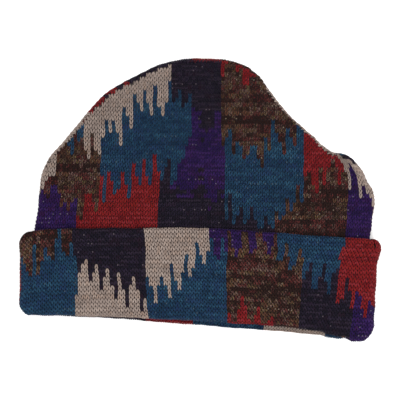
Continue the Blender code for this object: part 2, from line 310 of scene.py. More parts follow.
SHOULDER_TO_Y = 34.0

# Wales bent closer together than this share of their width are left out, under the others
LEAST_SPREAD = 0.15

# Mesh density of the crown's walls: the back panel's rounded side shows, so it has more steps
WALL_COLUMNS = 96
WALL_ROWS = 60
CURVE_STEPS = 12
ARCH_START = 0.1
FRONT_SIDE_STEPS = 6
BACK_SIDE_STEPS = 9
RIM_ROW = 0.03

# Mesh density of the cuff's walls: along it, round each side, and in its section over half of
# the cap, the face, the fold and the leg inside
CUFF_WALL_COLUMNS = 112
CUFF_SIDE_STEPS = 6
CAP_STEPS = 3
FACE_STEPS = 24
FOLD_STEPS = 10
LEG_STEPS = 4

# Spacing of the cloth maps' grids
CLOTH_STEP = 1.0


# Shared curves and tables

def smoothstep(low, high, value):
    t = np.clip((value - low) / (high - low), 0.0, 1.0)
    return t * t * (3.0 - 2.0 * t)


def smooth_curve(points, steps):
    """A Catmull-Rom curve through points, with steps stretches from each to the next."""
    rows = np.array(points, float)
    first = 2.0 * rows[0] - rows[1]
    last = 2.0 * rows[-1] - rows[-2]
    rows = np.vstack([first, rows, last])
    out = []
    for a, b, c, d in zip(rows[:-3], rows[1:-2], rows[2:-1], rows[3:]):
        for t in np.arange(steps) / steps:
            out.append(0.5 * (2 * b + (c - a) * t + (2 * a - 5 * b + 4 * c - d) * t**2
                              + (3 * b - a - 3 * c + d) * t**3))
    out.append(rows[-2])
    return np.array(out)


def resampled(curve, count):
    """count + 1 points at even distances along a curve whose first two columns are x and y."""
    lengths = np.linalg.norm(np.diff(curve[:, :2], axis=0), axis=1)
    along = np.concatenate([[0.0], np.cumsum(lengths)])
    at = np.linspace(0.0, along[-1], count + 1)
    return np.stack([np.interp(at, along, column) for column in curve.T], axis=1)


def table_value(table, at, column):
    """A column of a table read between its rows, whose first column is the place."""
    rows = np.array(table, float)
    return np.interp(at, rows[:, 0], rows[:, column])


def cuff_edge(x, column):
    """The cuff's top, bottom or show_back at x, smoothed across the table's rows."""
    shifts = (-EDGE_SMOOTHING, 0.0, EDGE_SMOOTHING)
    return sum(table_value(CUFF_EDGES, x + shift, column) for shift in shifts) / len(shifts)


def height_share(x, y):
    """Place of y between the cuff's bottom and top edges at x, as a share of its height."""
    low, high = cuff_edge(x, BOTTOM), cuff_edge(x, TOP)
    return (y - low) / (high - low)


CROWN_CURVE = smooth_curve(CROWN_OUTLINE, CURVE_STEPS)
PLAN_SHIFT = np.array([
    cad_low.x / MM - CUFF_LEFT,
    cad_high.y / MM - CROWN_CURVE[:, 1].max(),
    0.0,
])


def to_frame(point):
    """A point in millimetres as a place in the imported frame."""
    return Vector(point) * MM + Vector(PLAN_SHIFT) * MM


# The form of the crown

def cuff_front_height(x):
    """Height of the cuff's outer face above the surface, away from its rounded sides."""
    middle = 0.5 * (CUFF_LEFT + CUFF_RIGHT)
    half = 0.5 * (CUFF_RIGHT - CUFF_LEFT) - CUFF_SIDE_REACH
    share = np.clip(np.abs(x - middle) / half, 0.0, 1.0)
    dome = (1.0 - share**CUFF_FLATNESS) ** 2
    wave = sum(h * np.sin(2 * np.pi * (x - start) / length) for length, h, start in CUFF_WAVES)
    return CUFF_SEAM_HEIGHT + CUFF_SIDE_RISE + dome * (CUFF_DOME + wave)


def in_cuff(x, y, settle):
    """1 where the crown lies inside the cuff, falling to 0 within settle above its top edge."""
    return 1.0 - smoothstep(0.0, settle, y - cuff_edge(x, TOP))


def nearest_on(line, x, y):
    """Distance from each point to a polyline, and the place along it counted in its points."""
    start = line[:-1, :2]
    run = line[1:, :2] - start
    point = np.stack([np.ravel(x), np.ravel(y)], axis=1)
    best = np.full(len(point), np.inf)
    place = np.zeros(len(point))
    for k, (s, r) in enumerate(zip(start, run)):
        t = np.clip(((point - s) @ r) / (r @ r), 0.0, 1.0)
        away = np.linalg.norm(point - s - t[:, None] * r, axis=1)
        nearer = away < best
        best = np.where(nearer, away, best)
        place = np.where(nearer, k + t, place)
    return best.reshape(np.shape(x)), place.reshape(np.shape(x))


def swell(x, y, table):
    """Sum of the table's soft mounds and dents, each an oval turned in plan."""
    total = np.zeros(np.shape(x))
    for cx, cy, along, across, turn, height in table:
        c, s = math.cos(math.radians(turn)), math.sin(math.radians(turn))
        u = ((x - cx) * c + (y - cy) * s) / along
        v = ((y - cy) * c - (x - cx) * s) / across
        total = total + height * np.exp(-(u * u + v * v))
    return total


def crown_seam_height(x, y):
    """Height of the sewn seam, which climbs where the crown slides into the cuff."""
    raised = CUFF_SEAM_HEIGHT - CROWN_SEAM_HEIGHT
    return CROWN_SEAM_HEIGHT + raised * in_cuff(x, y, FRONT_SETTLE)


def crown_front_height(x, y, distance):
    """Height of the front panel's outer face, inside its rounded side."""
    inner = np.maximum(distance - CROWN_SIDE_REACH, 0.0)
    pillow = 1.0 - np.exp(-((inner / CROWN_DOME_REACH) ** CROWN_DOME_ROUNDNESS))
    under = in_cuff(x, y, FRONT_SETTLE)
    seam = crown_seam_height(x, y)
    free = seam + CROWN_SIDE_RISE + pillow * CROWN_DOME
    free = free + swell(x, y, CROWN_SWELLS) * smoothstep(0.0, SWELL_FADE, distance)
    tucked = seam + CROWN_SIDE_RISE + pillow * CUFF_ZONE_DOME
    ceiling = cuff_front_height(x) - WALL - LAYER_GAP
    tucked = np.minimum(tucked, ceiling)
    hidden = 1.0 - smoothstep(-SLIDE_UNDER, SLIDE_UNDER, y - cuff_edge(x, TOP))
    height = free + (tucked - free) * under
    return height + (np.minimum(height, ceiling) - height) * hidden


def crown_back_height(x, y):
    """Height of the back panel's under face above the surface it lies on."""
    return (WALL + LAYER_GAP) * in_cuff(x, y, BACK_SETTLE)


def back_shows(x):
    """How far the cuff's back fold lies past the front's, none at the side seams."""
    ends = smoothstep(0.0, SHOW_FADE, x - CUFF_LEFT) * smoothstep(0.0, SHOW_FADE, CUFF_RIGHT - x)
    return cuff_edge(x, SHOW_BACK) * ends


def crown_chain(columns, rows):
    """Outline points in order round the crown: the grid's left, top and right sides."""
    left_end = LEFT_CORNER * CURVE_STEPS
    right_end = RIGHT_CORNER * CURVE_STEPS
    left = resampled(CROWN_CURVE[:left_end + 1], rows)
    top = resampled(CROWN_CURVE[left_end:right_end + 1], columns)
    right = resampled(CROWN_CURVE[right_end:], rows)
    return np.vstack([left[:-1], top[:-1], right])


def slack(points):
    """Points moved in plan by the knit's small unevenness."""
    moved = np.array(points, float)
    for length, turn, start, by_x, by_y in SLACK_WAVES:
        c, s = math.cos(math.radians(turn)), math.sin(math.radians(turn))
        wave = np.sin(2 * math.pi * ((points[..., 0] * c + points[..., 1] * s) / length + start))
        moved[..., 0] += by_x * wave
        moved[..., 1] += by_y * wave
    return moved


class CrownSide:
    """The crown's rounded side: its seam, border and heights, point by point round the outline."""

    def __init__(self, front, columns=WALL_COLUMNS, rows=WALL_ROWS):
        self.front = front
        self.chain = crown_chain(columns, rows)
        along = np.gradient(self.chain[:, :2], axis=0)
        along /= np.linalg.norm(along, axis=1)[:, None]
        self.inward = np.stack([along[:, 1], -along[:, 0]], axis=1)
        self.inward[0] = (1.0, 0.0)
        self.inward[-1] = (-1.0, 0.0)
        self.border = self.chain[:, :2] + self.inward * CROWN_SIDE_REACH
        self.seam = crown_seam_height(self.chain[:, 0], self.chain[:, 1])
        x, y = self.border.T
        reach = np.full(len(x), CROWN_SIDE_REACH)
        self.rise = crown_front_height(x, y, reach) - self.seam
        self.drop = self.seam - crown_back_height(x, y)
        self.roll = np.arccos(np.clip(1.0 - self.chain[:, 2] / CROWN_SIDE_REACH, -1.0, 1.0))

    def at(self, place, values):
        index = np.arange(len(values))
        if values.ndim == 1:
            return np.interp(place, index, values)
        return np.stack([np.interp(place, index, column) for column in values.T], axis=-1)

    def point(self, place, turn):
        """A point of the rounded side, turn in radians: 0 level with the seam, half a right
        angle up or down at the border with the flat."""
        inset = CROWN_SIDE_REACH * (1.0 - np.cos(turn))
        plan = self.at(place, self.chain[:, :2]) + self.at(place, self.inward) * inset[..., None]
        lift = np.where(turn > 0.0, self.at(place, self.rise), self.at(place, self.drop))
        high = self.at(place, self.seam) + lift * np.sin(turn)
        return np.concatenate([plan, high[..., None]], axis=-1)


def crown_grid(border, lower_edge, columns, rows):
    """Grid of x, y inside the bordering chain: even rows in the cuff, arched above it."""
    left = border[:rows + 1]
    top = border[rows:rows + columns + 1]
    right = border[rows + columns:][::-1]
    across = np.linspace(0.0, 1.0, columns + 1)[None, :, None]
    bottom_x = left[0, 0] + (right[0, 0] - left[0, 0]) * across[0, :, 0]
    bottom = np.stack([bottom_x, lower_edge(bottom_x)], axis=1)
    bottom[0] = left[0]
    bottom[-1] = right[0]
    share = np.linspace(0.0, 1.0, rows + 1)
    arch = smoothstep(ARCH_START, 1.0, share)[:, None, None]
    cross = bottom[None] * (1 - arch) + top[None] * arch
    side = left[:, None] * (1 - across) + right[:, None] * across
    corner_left = left[0] * (1 - arch) + top[0] * arch
    corner_right = right[0] * (1 - arch) + top[-1] * arch
    return cross + side - corner_left * (1 - across) - corner_right * across


# Cloth maps: from the flat knit, in millimetres along its wales and courses, to the form

def shoulder_bend(x, y):
    """Plan place of a flat knit point: the wales bend with the puffed right shoulder."""
    lean = table_value(CROWN_LEAN, x, 1) * np.clip(y - LEAN_FROM_Y, 0.0, LEAN_CLIMB)
    part = smoothstep(SHOULDER_FROM_X, SHOULDER_TO_X, x)
    climb = np.clip(y, SHOULDER_FROM_Y, SHOULDER_TO_Y) - SHOULDER_FROM_Y
    return x + lean - SHOULDER_BEND * part * climb**2, y


# A crown panel's stitches reach this many courses into the cuff, and lie on the panel by at
# least this share
FRONT_TUCKED_COURSES = 3
BACK_TUCKED_COURSES = 2
ON_PANEL_SHARE = 0.6

# Keeps a read inside the grid's last cell, and a length above zero
LAST_CELL = 1.001
SMALLEST = 1e-9


class CrownCloth:
    """Where each point of a crown panel's flat knit lies, and which way it faces."""

    SPAN_X = (-136.0, 140.0)
    SPAN_Y = (-66.0, 108.0)

    def __init__(self, front):
        self.front = front
        side = CrownSide(front)
        xs = np.arange(self.SPAN_X[0], self.SPAN_X[1] + CLOTH_STEP, CLOTH_STEP)
        ys = np.arange(self.SPAN_Y[0], self.SPAN_Y[1] + CLOTH_STEP, CLOTH_STEP)
        x, y = shoulder_bend(*np.meshgrid(xs, ys))
        past, place = nearest_on(side.border, x, y)
        foot = side.at(place, side.border)
        way_in = side.at(place, side.inward)
        inside = ((x - foot[..., 0]) * way_in[..., 0] + (y - foot[..., 1]) * way_in[..., 1]) > 0.0
        distance, _ = nearest_on(CROWN_CURVE, x, y)
        if front:
            flat_z = crown_front_height(x, y, distance)
            climb = side.at(place, side.rise)
            way = 1.0
        else:
            flat_z = crown_back_height(x, y)
            climb = side.at(place, side.drop)
            way = -1.0
        quarter = 0.5 * np.pi * np.sqrt(0.5 * (CROWN_SIDE_REACH**2 + climb**2))
        turn = way * 0.5 * np.pi * (1.0 - past / quarter)
        rolled = side.point(place, turn)
        flat = np.stack([x, y, flat_z], axis=-1)
        self.points = np.where(inside[..., None], flat, rolled)
        roll = side.at(place, side.roll)
        gap = SEWN_GAP / CROWN_SIDE_REACH
        sewn = turn >= roll + gap if front else turn <= roll - gap
        spread = np.gradient(x, axis=1) / CLOTH_STEP
        self.on_panel = np.where(inside, 1.0, sewn.astype(float)) * (spread > LEAST_SPREAD)
        across = np.gradient(self.points, axis=1)
        up = np.gradient(self.points, axis=0)
        facing = np.cross(across, up) * way
        size = np.linalg.norm(facing, axis=-1, keepdims=True)
        self.facing = facing / np.maximum(size, SMALLEST)

    def read(self, grid, x, y):
        """A grid's value between its nodes at flat knit points."""
        i = np.clip((x - self.SPAN_X[0]) / CLOTH_STEP, 0, grid.shape[1] - LAST_CELL)
        j = np.clip((y - self.SPAN_Y[0]) / CLOTH_STEP, 0, grid.shape[0] - LAST_CELL)
        i0, j0 = i.astype(int), j.astype(int)
        a, b = i - i0, j - j0
        if grid.ndim == 3:
            a, b = a[..., None], b[..., None]
        low = grid[j0, i0] * (1 - a) + grid[j0, i0 + 1] * a
        high = grid[j0 + 1, i0] * (1 - a) + grid[j0 + 1, i0 + 1] * a
        return low * (1 - b) + high * b

    def place(self, x, y, lift):
        return self.read(self.points, x, y) + self.read(self.facing, x, y) * lift[..., None]

    def holds(self, x, y):
        """True where a stitch at this flat point is on the panel and shows above the cuff."""
        at = self.read(self.points, x, y)
        tucked = FRONT_TUCKED_COURSES if self.front else BACK_TUCKED_COURSES
        hidden = at[..., 1] < cuff_edge(at[..., 0], TOP) - tucked * COURSE
        return (self.read(self.on_panel, x, y) > ON_PANEL_SHARE) & ~hidden


def corner_drop(inset, radius, fullness=2.0):
    """How far a rounded corner takes an edge back at this distance in from the side: a circle's
    arc at a fullness of 2, and squarer above."""
    left = np.clip(1.0 - inset / radius, 0.0, 1.0)
    return radius * (1.0 - (1.0 - left**fullness) ** (1.0 / fullness))


class CuffCloth:
    """Where each point of a cuff half's flat knit lies.

    Along is measured from the cuff's middle, down from its top edge over the face, round the
    bottom fold and up the leg inside. Down is negative on the face's inner side.
    """

    MIDDLE = 0.5 * (CUFF_LEFT + CUFF_RIGHT)
    HALF_RUN = 0.5 * (CUFF_RIGHT - CUFF_LEFT) - CUFF_SIDE_REACH
    EDGE_ARC = 0.5 * math.pi * HALF_WALL

    def __init__(self, front):
        self.front = front
        rise = CUFF_SIDE_RISE if front else CUFF_SEAM_HEIGHT
        self.quarter = 0.5 * math.pi * math.sqrt(0.5 * (CUFF_SIDE_REACH**2 + rise**2))

    def lean(self, along, down):
        return along - table_value(CUFF_LEAN, along, 1) * np.clip(down, 0.0, LEAN_DEPTH)

    def side_turn(self, along):
        """Side (-1, 0 or 1) and turn round it in radians, of a point along the cuff."""
        past = np.abs(along) - self.HALF_RUN
        side = np.where(past > 0.0, np.sign(along), 0.0)
        turn = 0.5 * math.pi * (1.0 - np.maximum(past, 0.0) / self.quarter)
        return side, turn if self.front else -turn

    def rest_x(self, along):
        side, turn = self.side_turn(along)
        inset = CUFF_SIDE_REACH * (1.0 - np.cos(turn))
        return np.where(side < 0, CUFF_LEFT + inset,
                        np.where(side > 0, CUFF_RIGHT - inset, self.MIDDLE + along))

    def edges(self, along):
        """Y of the cap's centre line and of the fold's, at a point along the cuff."""
        x = self.rest_x(along)
        from_left, from_right = x - CUFF_LEFT, CUFF_RIGHT - x
        top = cuff_edge(x, TOP) - table_value(TOP_LEFT_SLOPE, from_left, 1)
        top = top - corner_drop(from_left, TOP_LEFT_CORNER)
        top = top - corner_drop(from_right, TOP_RIGHT_CORNER)
        bottom = cuff_edge(x, BOTTOM) + table_value(BOTTOM_RISE, x, 1)
        if not self.front:
            bottom = bottom - back_shows(x)
        bottom = bottom + corner_drop(from_left, BOTTOM_LEFT_CORNER)
        bottom = bottom + corner_drop(from_right, BOTTOM_RIGHT_CORNER, BOTTOM_RIGHT_FULLNESS)
        return top - HALF_WALL, bottom + FOLD_RADIUS

    def section(self, along, down, lift):
        """Y and depth below the outer face of a point lifted off the wall's surface."""
        cap_y, fold_y = self.edges(along)
        side, _ = self.side_turn(along)
        bulge = np.where(side == 0.0, CUFF_BULGE, 0.0) if self.front else np.zeros(np.shape(along))
        face = cap_y - fold_y
        tip = np.clip(down / HALF_WALL, -0.5 * math.pi, 0.5 * math.pi)
        past_cap = down - self.EDGE_ARC
        share = np.clip(past_cap / face, 0.0, 1.0)
        turn = np.clip((past_cap - face) / FOLD_RADIUS, 0.0, math.pi)
        leg = np.maximum(past_cap - face - math.pi * FOLD_RADIUS, 0.0)
        inner = np.maximum(-down - self.EDGE_ARC, 0.0)
        on_cap = past_cap < 0.0
        cap_reach = HALF_WALL + lift
        y_cap = cap_y - inner + cap_reach * np.cos(tip)
        depth_cap = -HALF_WALL + cap_reach * np.sin(tip)
        y_face = cap_y - share * face - (FOLD_RADIUS + lift) * np.sin(turn) + leg
        depth_face = (bulge * np.sin(math.pi * share) - FOLD_RADIUS
                      + (FOLD_RADIUS + lift) * np.cos(turn))
        return np.where(on_cap, y_cap, y_face), np.where(on_cap, depth_cap, depth_face)

    def stand(self, along, y, depth):
        """The point of the form at a place along the cuff, a Y and a depth in its wall."""
        side, turn = self.side_turn(along)
        share = height_share(np.where(side < 0, CUFF_LEFT, CUFF_RIGHT), y)
        right_x = CUFF_RIGHT + table_value(RIGHT_SIDE, share, 1)
        rise = np.where(turn > 0.0, CUFF_SIDE_RISE, CUFF_SEAM_HEIGHT)
        inset = CUFF_SIDE_REACH * (1.0 - np.cos(turn))
        out_x = np.cos(turn) * rise
        out_z = np.sin(turn) * CUFF_SIDE_REACH
        size = np.hypot(out_x, out_z)
        side_x = np.where(side < 0, CUFF_LEFT + inset, right_x - inset)
        side_x = side_x + side * out_x / size * depth
        side_z = CUFF_SEAM_HEIGHT + rise * np.sin(turn) + out_z / size * depth
        share = 0.5 + 0.5 * along / self.HALF_RUN
        flat_x = CUFF_LEFT + CUFF_SIDE_REACH + share * (right_x - CUFF_LEFT - 2 * CUFF_SIDE_REACH)
        if self.front:
            flat_z = cuff_front_height(self.MIDDLE + along) + depth
        else:
            flat_z = -depth
        flat = side == 0.0
        x = np.where(flat, flat_x, side_x)
        z = np.where(flat, flat_z, side_z)
        return np.stack([x, y, z], axis=-1)

    def place(self, along, down, lift):
        along = self.lean(along, down)
        y, depth = self.section(along, down, lift)
        return self.stand(along, y, depth)

    def seam_turn(self, side, y):
        """Turn of the side seam's middle in radians, where the front and back halves meet."""
        share = height_share(np.where(side < 0, CUFF_LEFT, CUFF_RIGHT), y)
        left = table_value(SIDE_SEAM, share, 1)
        right = table_value(SIDE_SEAM, share, 2)
        return np.radians(np.where(side < 0, left, right))

    def seam_gap(self, side, y):
        """Distance that the stitches keep from the seam's middle."""
        notched = (side > 0) & (height_share(CUFF_RIGHT, y) > NOTCH_FROM)
        return np.where(notched, NOTCH_GAP, SEWN_GAP)

    def holds(self, along, down):
        """True where a stitch is on this half of the cuff and not past the end of its leg."""
        leaned = self.lean(along, down)
        y, _ = self.section(leaned, down, np.zeros(np.shape(down)))
        cap_y, fold_y = self.edges(leaned)
        side, turn = self.side_turn(leaned)
        sewn = self.seam_turn(side, y)
        gap = self.seam_gap(side, y) / CUFF_SIDE_REACH
        inside = turn >= sewn + gap if self.front else turn <= sewn - gap
        end = self.EDGE_ARC + cap_y - fold_y + math.pi * FOLD_RADIUS + FOLD_LEG - COURSE
        return ((side == 0.0) | inside) & (down < end)


# The knitting chart, in wales from the left and courses down from the top edge. A join is the
# toothed line between two yarns: for each wale of its block, the courses above the line.
YARNS = ("oatmeal", "teal", "purple", "aubergine", "red", "brown")

CUFF_BLOCKS = (
    # first wale, yarns from the top down, courses to each join, wale by wale
    (0, ("brown", "teal"), (
        (6, 8, 10, 11, 4, 11, 8, 5, 7, 8, 3, 0, 6, 7, 4),
    )),
    (15, ("aubergine", "teal", "oatmeal"), (
        (7,),
        (16,),
    )),
    (16, ("aubergine", "oatmeal"), (
        (11, 9, 8, 13, 11, 9, 15, 12, 10, 14, 17, 11, 15, 19, 14, 12, 15, 20, 17),
    )),
    (35, ("oatmeal", "teal"), (
        (12, 14, 18, 14, 12, 14, 17, 9, 13, 15, 11, 7, 12, 10, 4, 7, 9, 6),
    )),
    (53, ("purple", "teal"), (
        (3, 7, 8, 3, 6),
    )),
    (58, ("purple", "brown", "red"), (
        (1, 5, 7, 5, 1, 1, 6, 5, 1, 0, 3, 6, 4, 1),
        (20, 22, 22, 19, 16, 18, 21, 22, 20, 18, 22, 22, 21, 20),
    )),
    (72, ("teal", "brown"), (
        (7, 7, 3, 6, 9, 8, 4, 6),
    )),
    (80, ("teal", "aubergine"), (
        (11, 9, 7, 13, 13, 10, 7, 11, 14, 9),
    )),
    (90, ("teal", "red", "teal", "aubergine"), (
        (3,),
        (6,),
        (8,),
    )),
    (91, ("red", "aubergine"), (
        (16, 15, 10, 13, 17),
    )),
    (96, ("red", "purple"), (
        (13, 14, 17, 19, 15, 16, 16, 19, 16, 16, 16, 16, 20, 15),
    )),
)

CROWN_BLOCKS = (
    # first wale, yarns from the top down, courses to each join, wale by wale
    (0, ("oatmeal", "brown", "purple"), (
        (27, 29, 32, 32, 32, 31, 29, 28, 28),
        (27, 29, 32, 32, 32, 31, 32, 33, 30),
    )),
    (9, ("teal", "brown", "purple"), (
        (14, 19, 19, 21, 23, 18, 20),
        (30, 32, 35, 34, 36, 34, 33),
    )),
    (16, ("teal", "brown", "red"), (
        (19,),
        (37,),
    )),
    (17, ("oatmeal", "brown", "red"), (
        (22, 24, 18, 22, 23),
        (38, 32, 32, 34, 36),
    )),
    (22, ("oatmeal", "teal", "red"), (
        (19, 15, 18, 15, 18, 21, 12, 14, 17, 9, 11, 13, 8, 11, 14, 7, 12),
        (28, 34, 27, 29, 32, 31, 27, 30, 33, 25, 28, 30, 24, 28, 30, 23, 27),
    )),
    (39, ("oatmeal", "teal", "aubergine"), (
        (14, 11, 6),
        (29, 26, 24),
    )),
    (42, ("aubergine", "teal", "purple", "aubergine"), (
        (11, 10, 8, 12, 11, 9),
        (30, 29, 25, 24, 21, 19),
        (30, 30, 30, 31, 31, 32),
    )),
    (48, ("aubergine", "purple", "aubergine"), (
        (11, 12, 14, 17, 17, 17, 16, 13, 13),
        (31, 31, 27, 28, 33, 34, 34, 33, 31),
    )),
    (57, ("red", "brown", "purple", "aubergine"), (
        (5,),
        (21,),
        (31,),
    )),
    (58, ("red", "brown", "teal", "aubergine"), (
        (2, 0, 0, 4, 3, 7, 7, 5, 5, 0, 0, 0, 0, 0),
        (19, 17, 23, 20, 21, 24, 23, 21, 21, 24, 26, 19, 22, 15),
        (38, 32, 39, 37, 35, 39, 38, 35, 38, 40, 40, 37, 39, 40),
    )),
    (72, ("brown", "teal", "brown"), (
        (18, 20, 23, 17, 19, 21, 15, 15),
        (36, 38, 37, 33, 36, 34, 30, 34),
    )),
    (80, ("red", "brown"), (
        (28, 27, 30, 32, 26),
    )),
    (85, ("oatmeal", "red", "brown"), (
        (21, 22, 22, 23, 24, 25, 27),
        (30, 26, 24, 26, 30, 27, 27),
    )),
    (92, ("oatmeal", "purple"), (
        (31, 26, 25, 33, 30, 32, 33, 35, 36, 36, 36, 36, 36, 36),
    )),
)

# A join between these two yarns is dithered over some courses instead of toothed
STRIPED_JOIN = ("aubergine", "purple")
STRIPED_ROWS = 3.4
ROW_SHARE = 0.72
GOLDEN_SHARE = 0.618
STITCH_BY_COURSE = 0.5
STITCH_BY_WALE = 0.7

# Width in wales of a tooth in the joins that lie underneath
TOOTH = 3.5


def teeth(count, level, deep):
    """A plain toothed join for the parts that lie underneath."""
    wave = np.abs((np.arange(count) * 2 / TOOTH) % 2 - 1)
    return tuple(int(round(level + deep * (share - 0.5))) for share in wave)


CROWN_BACK_BLOCKS = (
    # first wale, yarns from the top down, the joins between them
    (0, ("oatmeal", "purple"), (teeth(17, 31, 5),)),
    (17, ("red", "brown"), (teeth(4, 23, 5),)),
    (21, ("aubergine", "teal"), (teeth(1, 20, 5),)),
    (22, ("red", "teal"), (teeth(3, 21, 5),)),
    (25, ("aubergine", "teal"), (teeth(2, 20, 5),)),
    (27, ("red", "teal"), (teeth(1, 21, 5),)),
    (28, ("aubergine", "oatmeal", "red"), (teeth(20, 14, 6), teeth(20, 30, 6))),
    (48, ("red", "teal", "aubergine"), (teeth(9, 17, 6), teeth(9, 31, 6))),
    (57, ("brown", "purple"), (teeth(14, 24, 6),)),
    (71, ("oatmeal", "teal"), (teeth(21, 36, 6),)),
    (92, ("teal", "aubergine", "oatmeal", "brown"), ((22,), (24,), teeth(8, 37, 5))),
    (100, ("aubergine", "oatmeal", "red"), ((24,), teeth(8, 37, 5))),
)

CUFF_BACK_BLOCKS = (
    # first wale, yarns from the top down, the joins between them
    (0, ("brown", "red", "purple"), (teeth(5, 6, 3), teeth(5, 14, 3))),
    (5, ("brown", "purple"), (teeth(6, 8, 5),)),
    (11, ("oatmeal", "aubergine"), (teeth(23, 12, 6),)),
    (34, ("teal", "red"), (teeth(14, 9, 6),)),
    (48, ("brown", "teal"), (teeth(21, 11, 6),)),
    (69, ("purple", "oatmeal"), (teeth(20, 12, 6),)),
    (89, ("red", "teal"), (teeth(5, 10, 5),)),
    (94, ("red", "brown"), (teeth(1, 10, 5),)),
    (95, ("aubergine", "purple"), (teeth(3, 12, 5),)),
    (98, ("red", "purple"), (teeth(9, 14, 5),)),
)


# Where the heather yarn knits up in one of its dyes for a few stitches; the bands just above the cuff
# also paint the shade of the crease there
HEATHER_BANDS = {
    # first and last wale, first and last course, dye
    "crown_front": (
        (58, 62, 3, 5, "tan"),
        (60, 63, 7, 7, "maroon"),
        (66, 71, 9, 10, "dark"),
        (60, 64, 12, 13, "rust"),
        (68, 72, 11, 12, "grey"),
        (61, 68, 14, 15, "dark"),
        (67, 70, 16, 17, "maroon"),
        (63, 66, 17, 18, "tan"),
        (57, 58, 13, 20, "rust"),
        (60, 61, 18, 23, "maroon"),
        (73, 76, 18, 22, "maroon"),
        (81, 84, 32, 33, "dusty"),
        (86, 91, 31, 32, "dark"),
        (74, 77, 34, 37, "rust"),
        (78, 84, 36, 37, "olive"),
        (86, 91, 34, 37, "tan"),
        # Painted shade: these bands darken the strip just above the cuff's top edge, partly the
        # heather's own dark and russet streaks and partly the crease's shade where the crown bulges
        # over the cuff
        (73, 91, 38, 38, "dark"),
        (73, 91, 39, 40, "russet"),
        (73, 91, 41, 43, "dark"),
        (9, 15, 23, 24, "olive"),
        (15, 18, 23, 23, "maroon"),
        (19, 20, 22, 23, "rust"),
        (9, 15, 25, 26, "dark"),
        (10, 16, 28, 29, "tan"),
        (5, 9, 28, 31, "maroon"),
    ),
    "crown_back": (
        (66, 71, 0, 20, "grey"),
    ),
    "cuff_front": (
        (0, 4, 0, 1, "dark"),
        (7, 10, 0, 2, "dark"),
        (12, 14, 3, 7, "dark"),
        (6, 9, 3, 4, "maroon"),
        (62, 64, 0, 5, "olive"),
        (67, 69, 1, 5, "dusty"),
        (58, 65, 7, 8, "maroon"),
        (72, 74, 7, 8, "rust"),
        (78, 80, 7, 9, "olive"),
        (57, 66, 9, 9, "russet"),
        (60, 69, 11, 11, "maroon"),
        (69, 76, 11, 11, "dark"),
        (76, 80, 12, 12, "maroon"),
        (64, 78, 13, 13, "tan"),
        (59, 66, 14, 14, "dark"),
        (68, 72, 17, 19, "rust"),
        (74, 80, 17, 19, "grey"),
    ),
    "cuff_back": (),
}
HEATHER_PLACE = {
    "dark": -0.03,
    "maroon": 0.18,
    "russet": 0.265,
    "dusty": 0.34,
    "grey": 0.50,
    "tan": 0.64,
    "olive": 0.78,
    "rust": 0.93,
}


def dither(wale, course):
    """A value from -1 to 1 that jumps from course to course, and a little from wale to wale."""
    by_row = 2.0 * ((course * GOLDEN_SHARE) % 1.0) - 1.0
    step = course * GOLDEN_SHARE * STITCH_BY_COURSE + wale * GOLDEN_SHARE * STITCH_BY_WALE
    by_stitch = 2.0 * (step % 1.0) - 1.0
    return ROW_SHARE * by_row + (1.0 - ROW_SHARE) * by_stitch


def yarn_at(blocks, wale, course):
    """Index of the yarn that the chart gives each stitch."""
    wale = np.round(wale).astype(int)
    course = np.round(course)
    starts = np.array([block[0] for block in blocks])
    block_of = np.clip(np.searchsorted(starts, wale, side="right") - 1, 0, len(blocks) - 1)
    yarn = np.zeros(np.shape(wale), int)
    for k, (first, yarns, joins) in enumerate(blocks):
        found = np.full(np.shape(wale), YARNS.index(yarns[0]))
        for above, below, join in zip(yarns[:-1], yarns[1:], joins):
            edge = np.array(join, float)[np.clip(wale - first, 0, len(join) - 1)]
            if set(STRIPED_JOIN) == {above, below}:
                edge = edge + STRIPED_ROWS * dither(wale, course)
            found = np.where(course >= edge, YARNS.index(below), found)
        yarn = np.where(block_of == k, found, yarn)
    return yarn


# One stitch: two legs that lean apart, each a tapered strand whose ends sink into the wall
LEG_STATIONS = (
    # x in wales, y in courses, z, radius across, radius out of the wall
    (0.03, -0.28, -0.90, 0.0, 0.0),
    (0.13, 0.02, -0.34, 0.48, 0.42),
    (0.27, 0.46, -0.14, 0.60, 0.50),
    (0.36, 0.88, -0.34, 0.48, 0.42),
    (0.31, 1.18, -0.94, 0.0, 0.0),
)
LEG_SIDES = 5

# Width of the strands on each part of the beanie, as a share of the stations' radius
CROWN_FULLNESS = 0.88
CUFF_FULLNESS = 1.0


def join_rings(mesh, low, high):
    """The faces between two rings of a strand, either of which may be its tip."""
    sides = max(len(low), len(high))
    faces = []
    for n in range(sides):
        m = (n + 1) % sides
        if len(low) == 1:
            corners = (low[0], high[n], high[m])
        elif len(high) == 1:
            corners = (low[n], low[m], high[0])
        else:
            corners = (low[n], low[m], high[m], high[n])
        faces.append(mesh.faces.new(corners))
    return faces


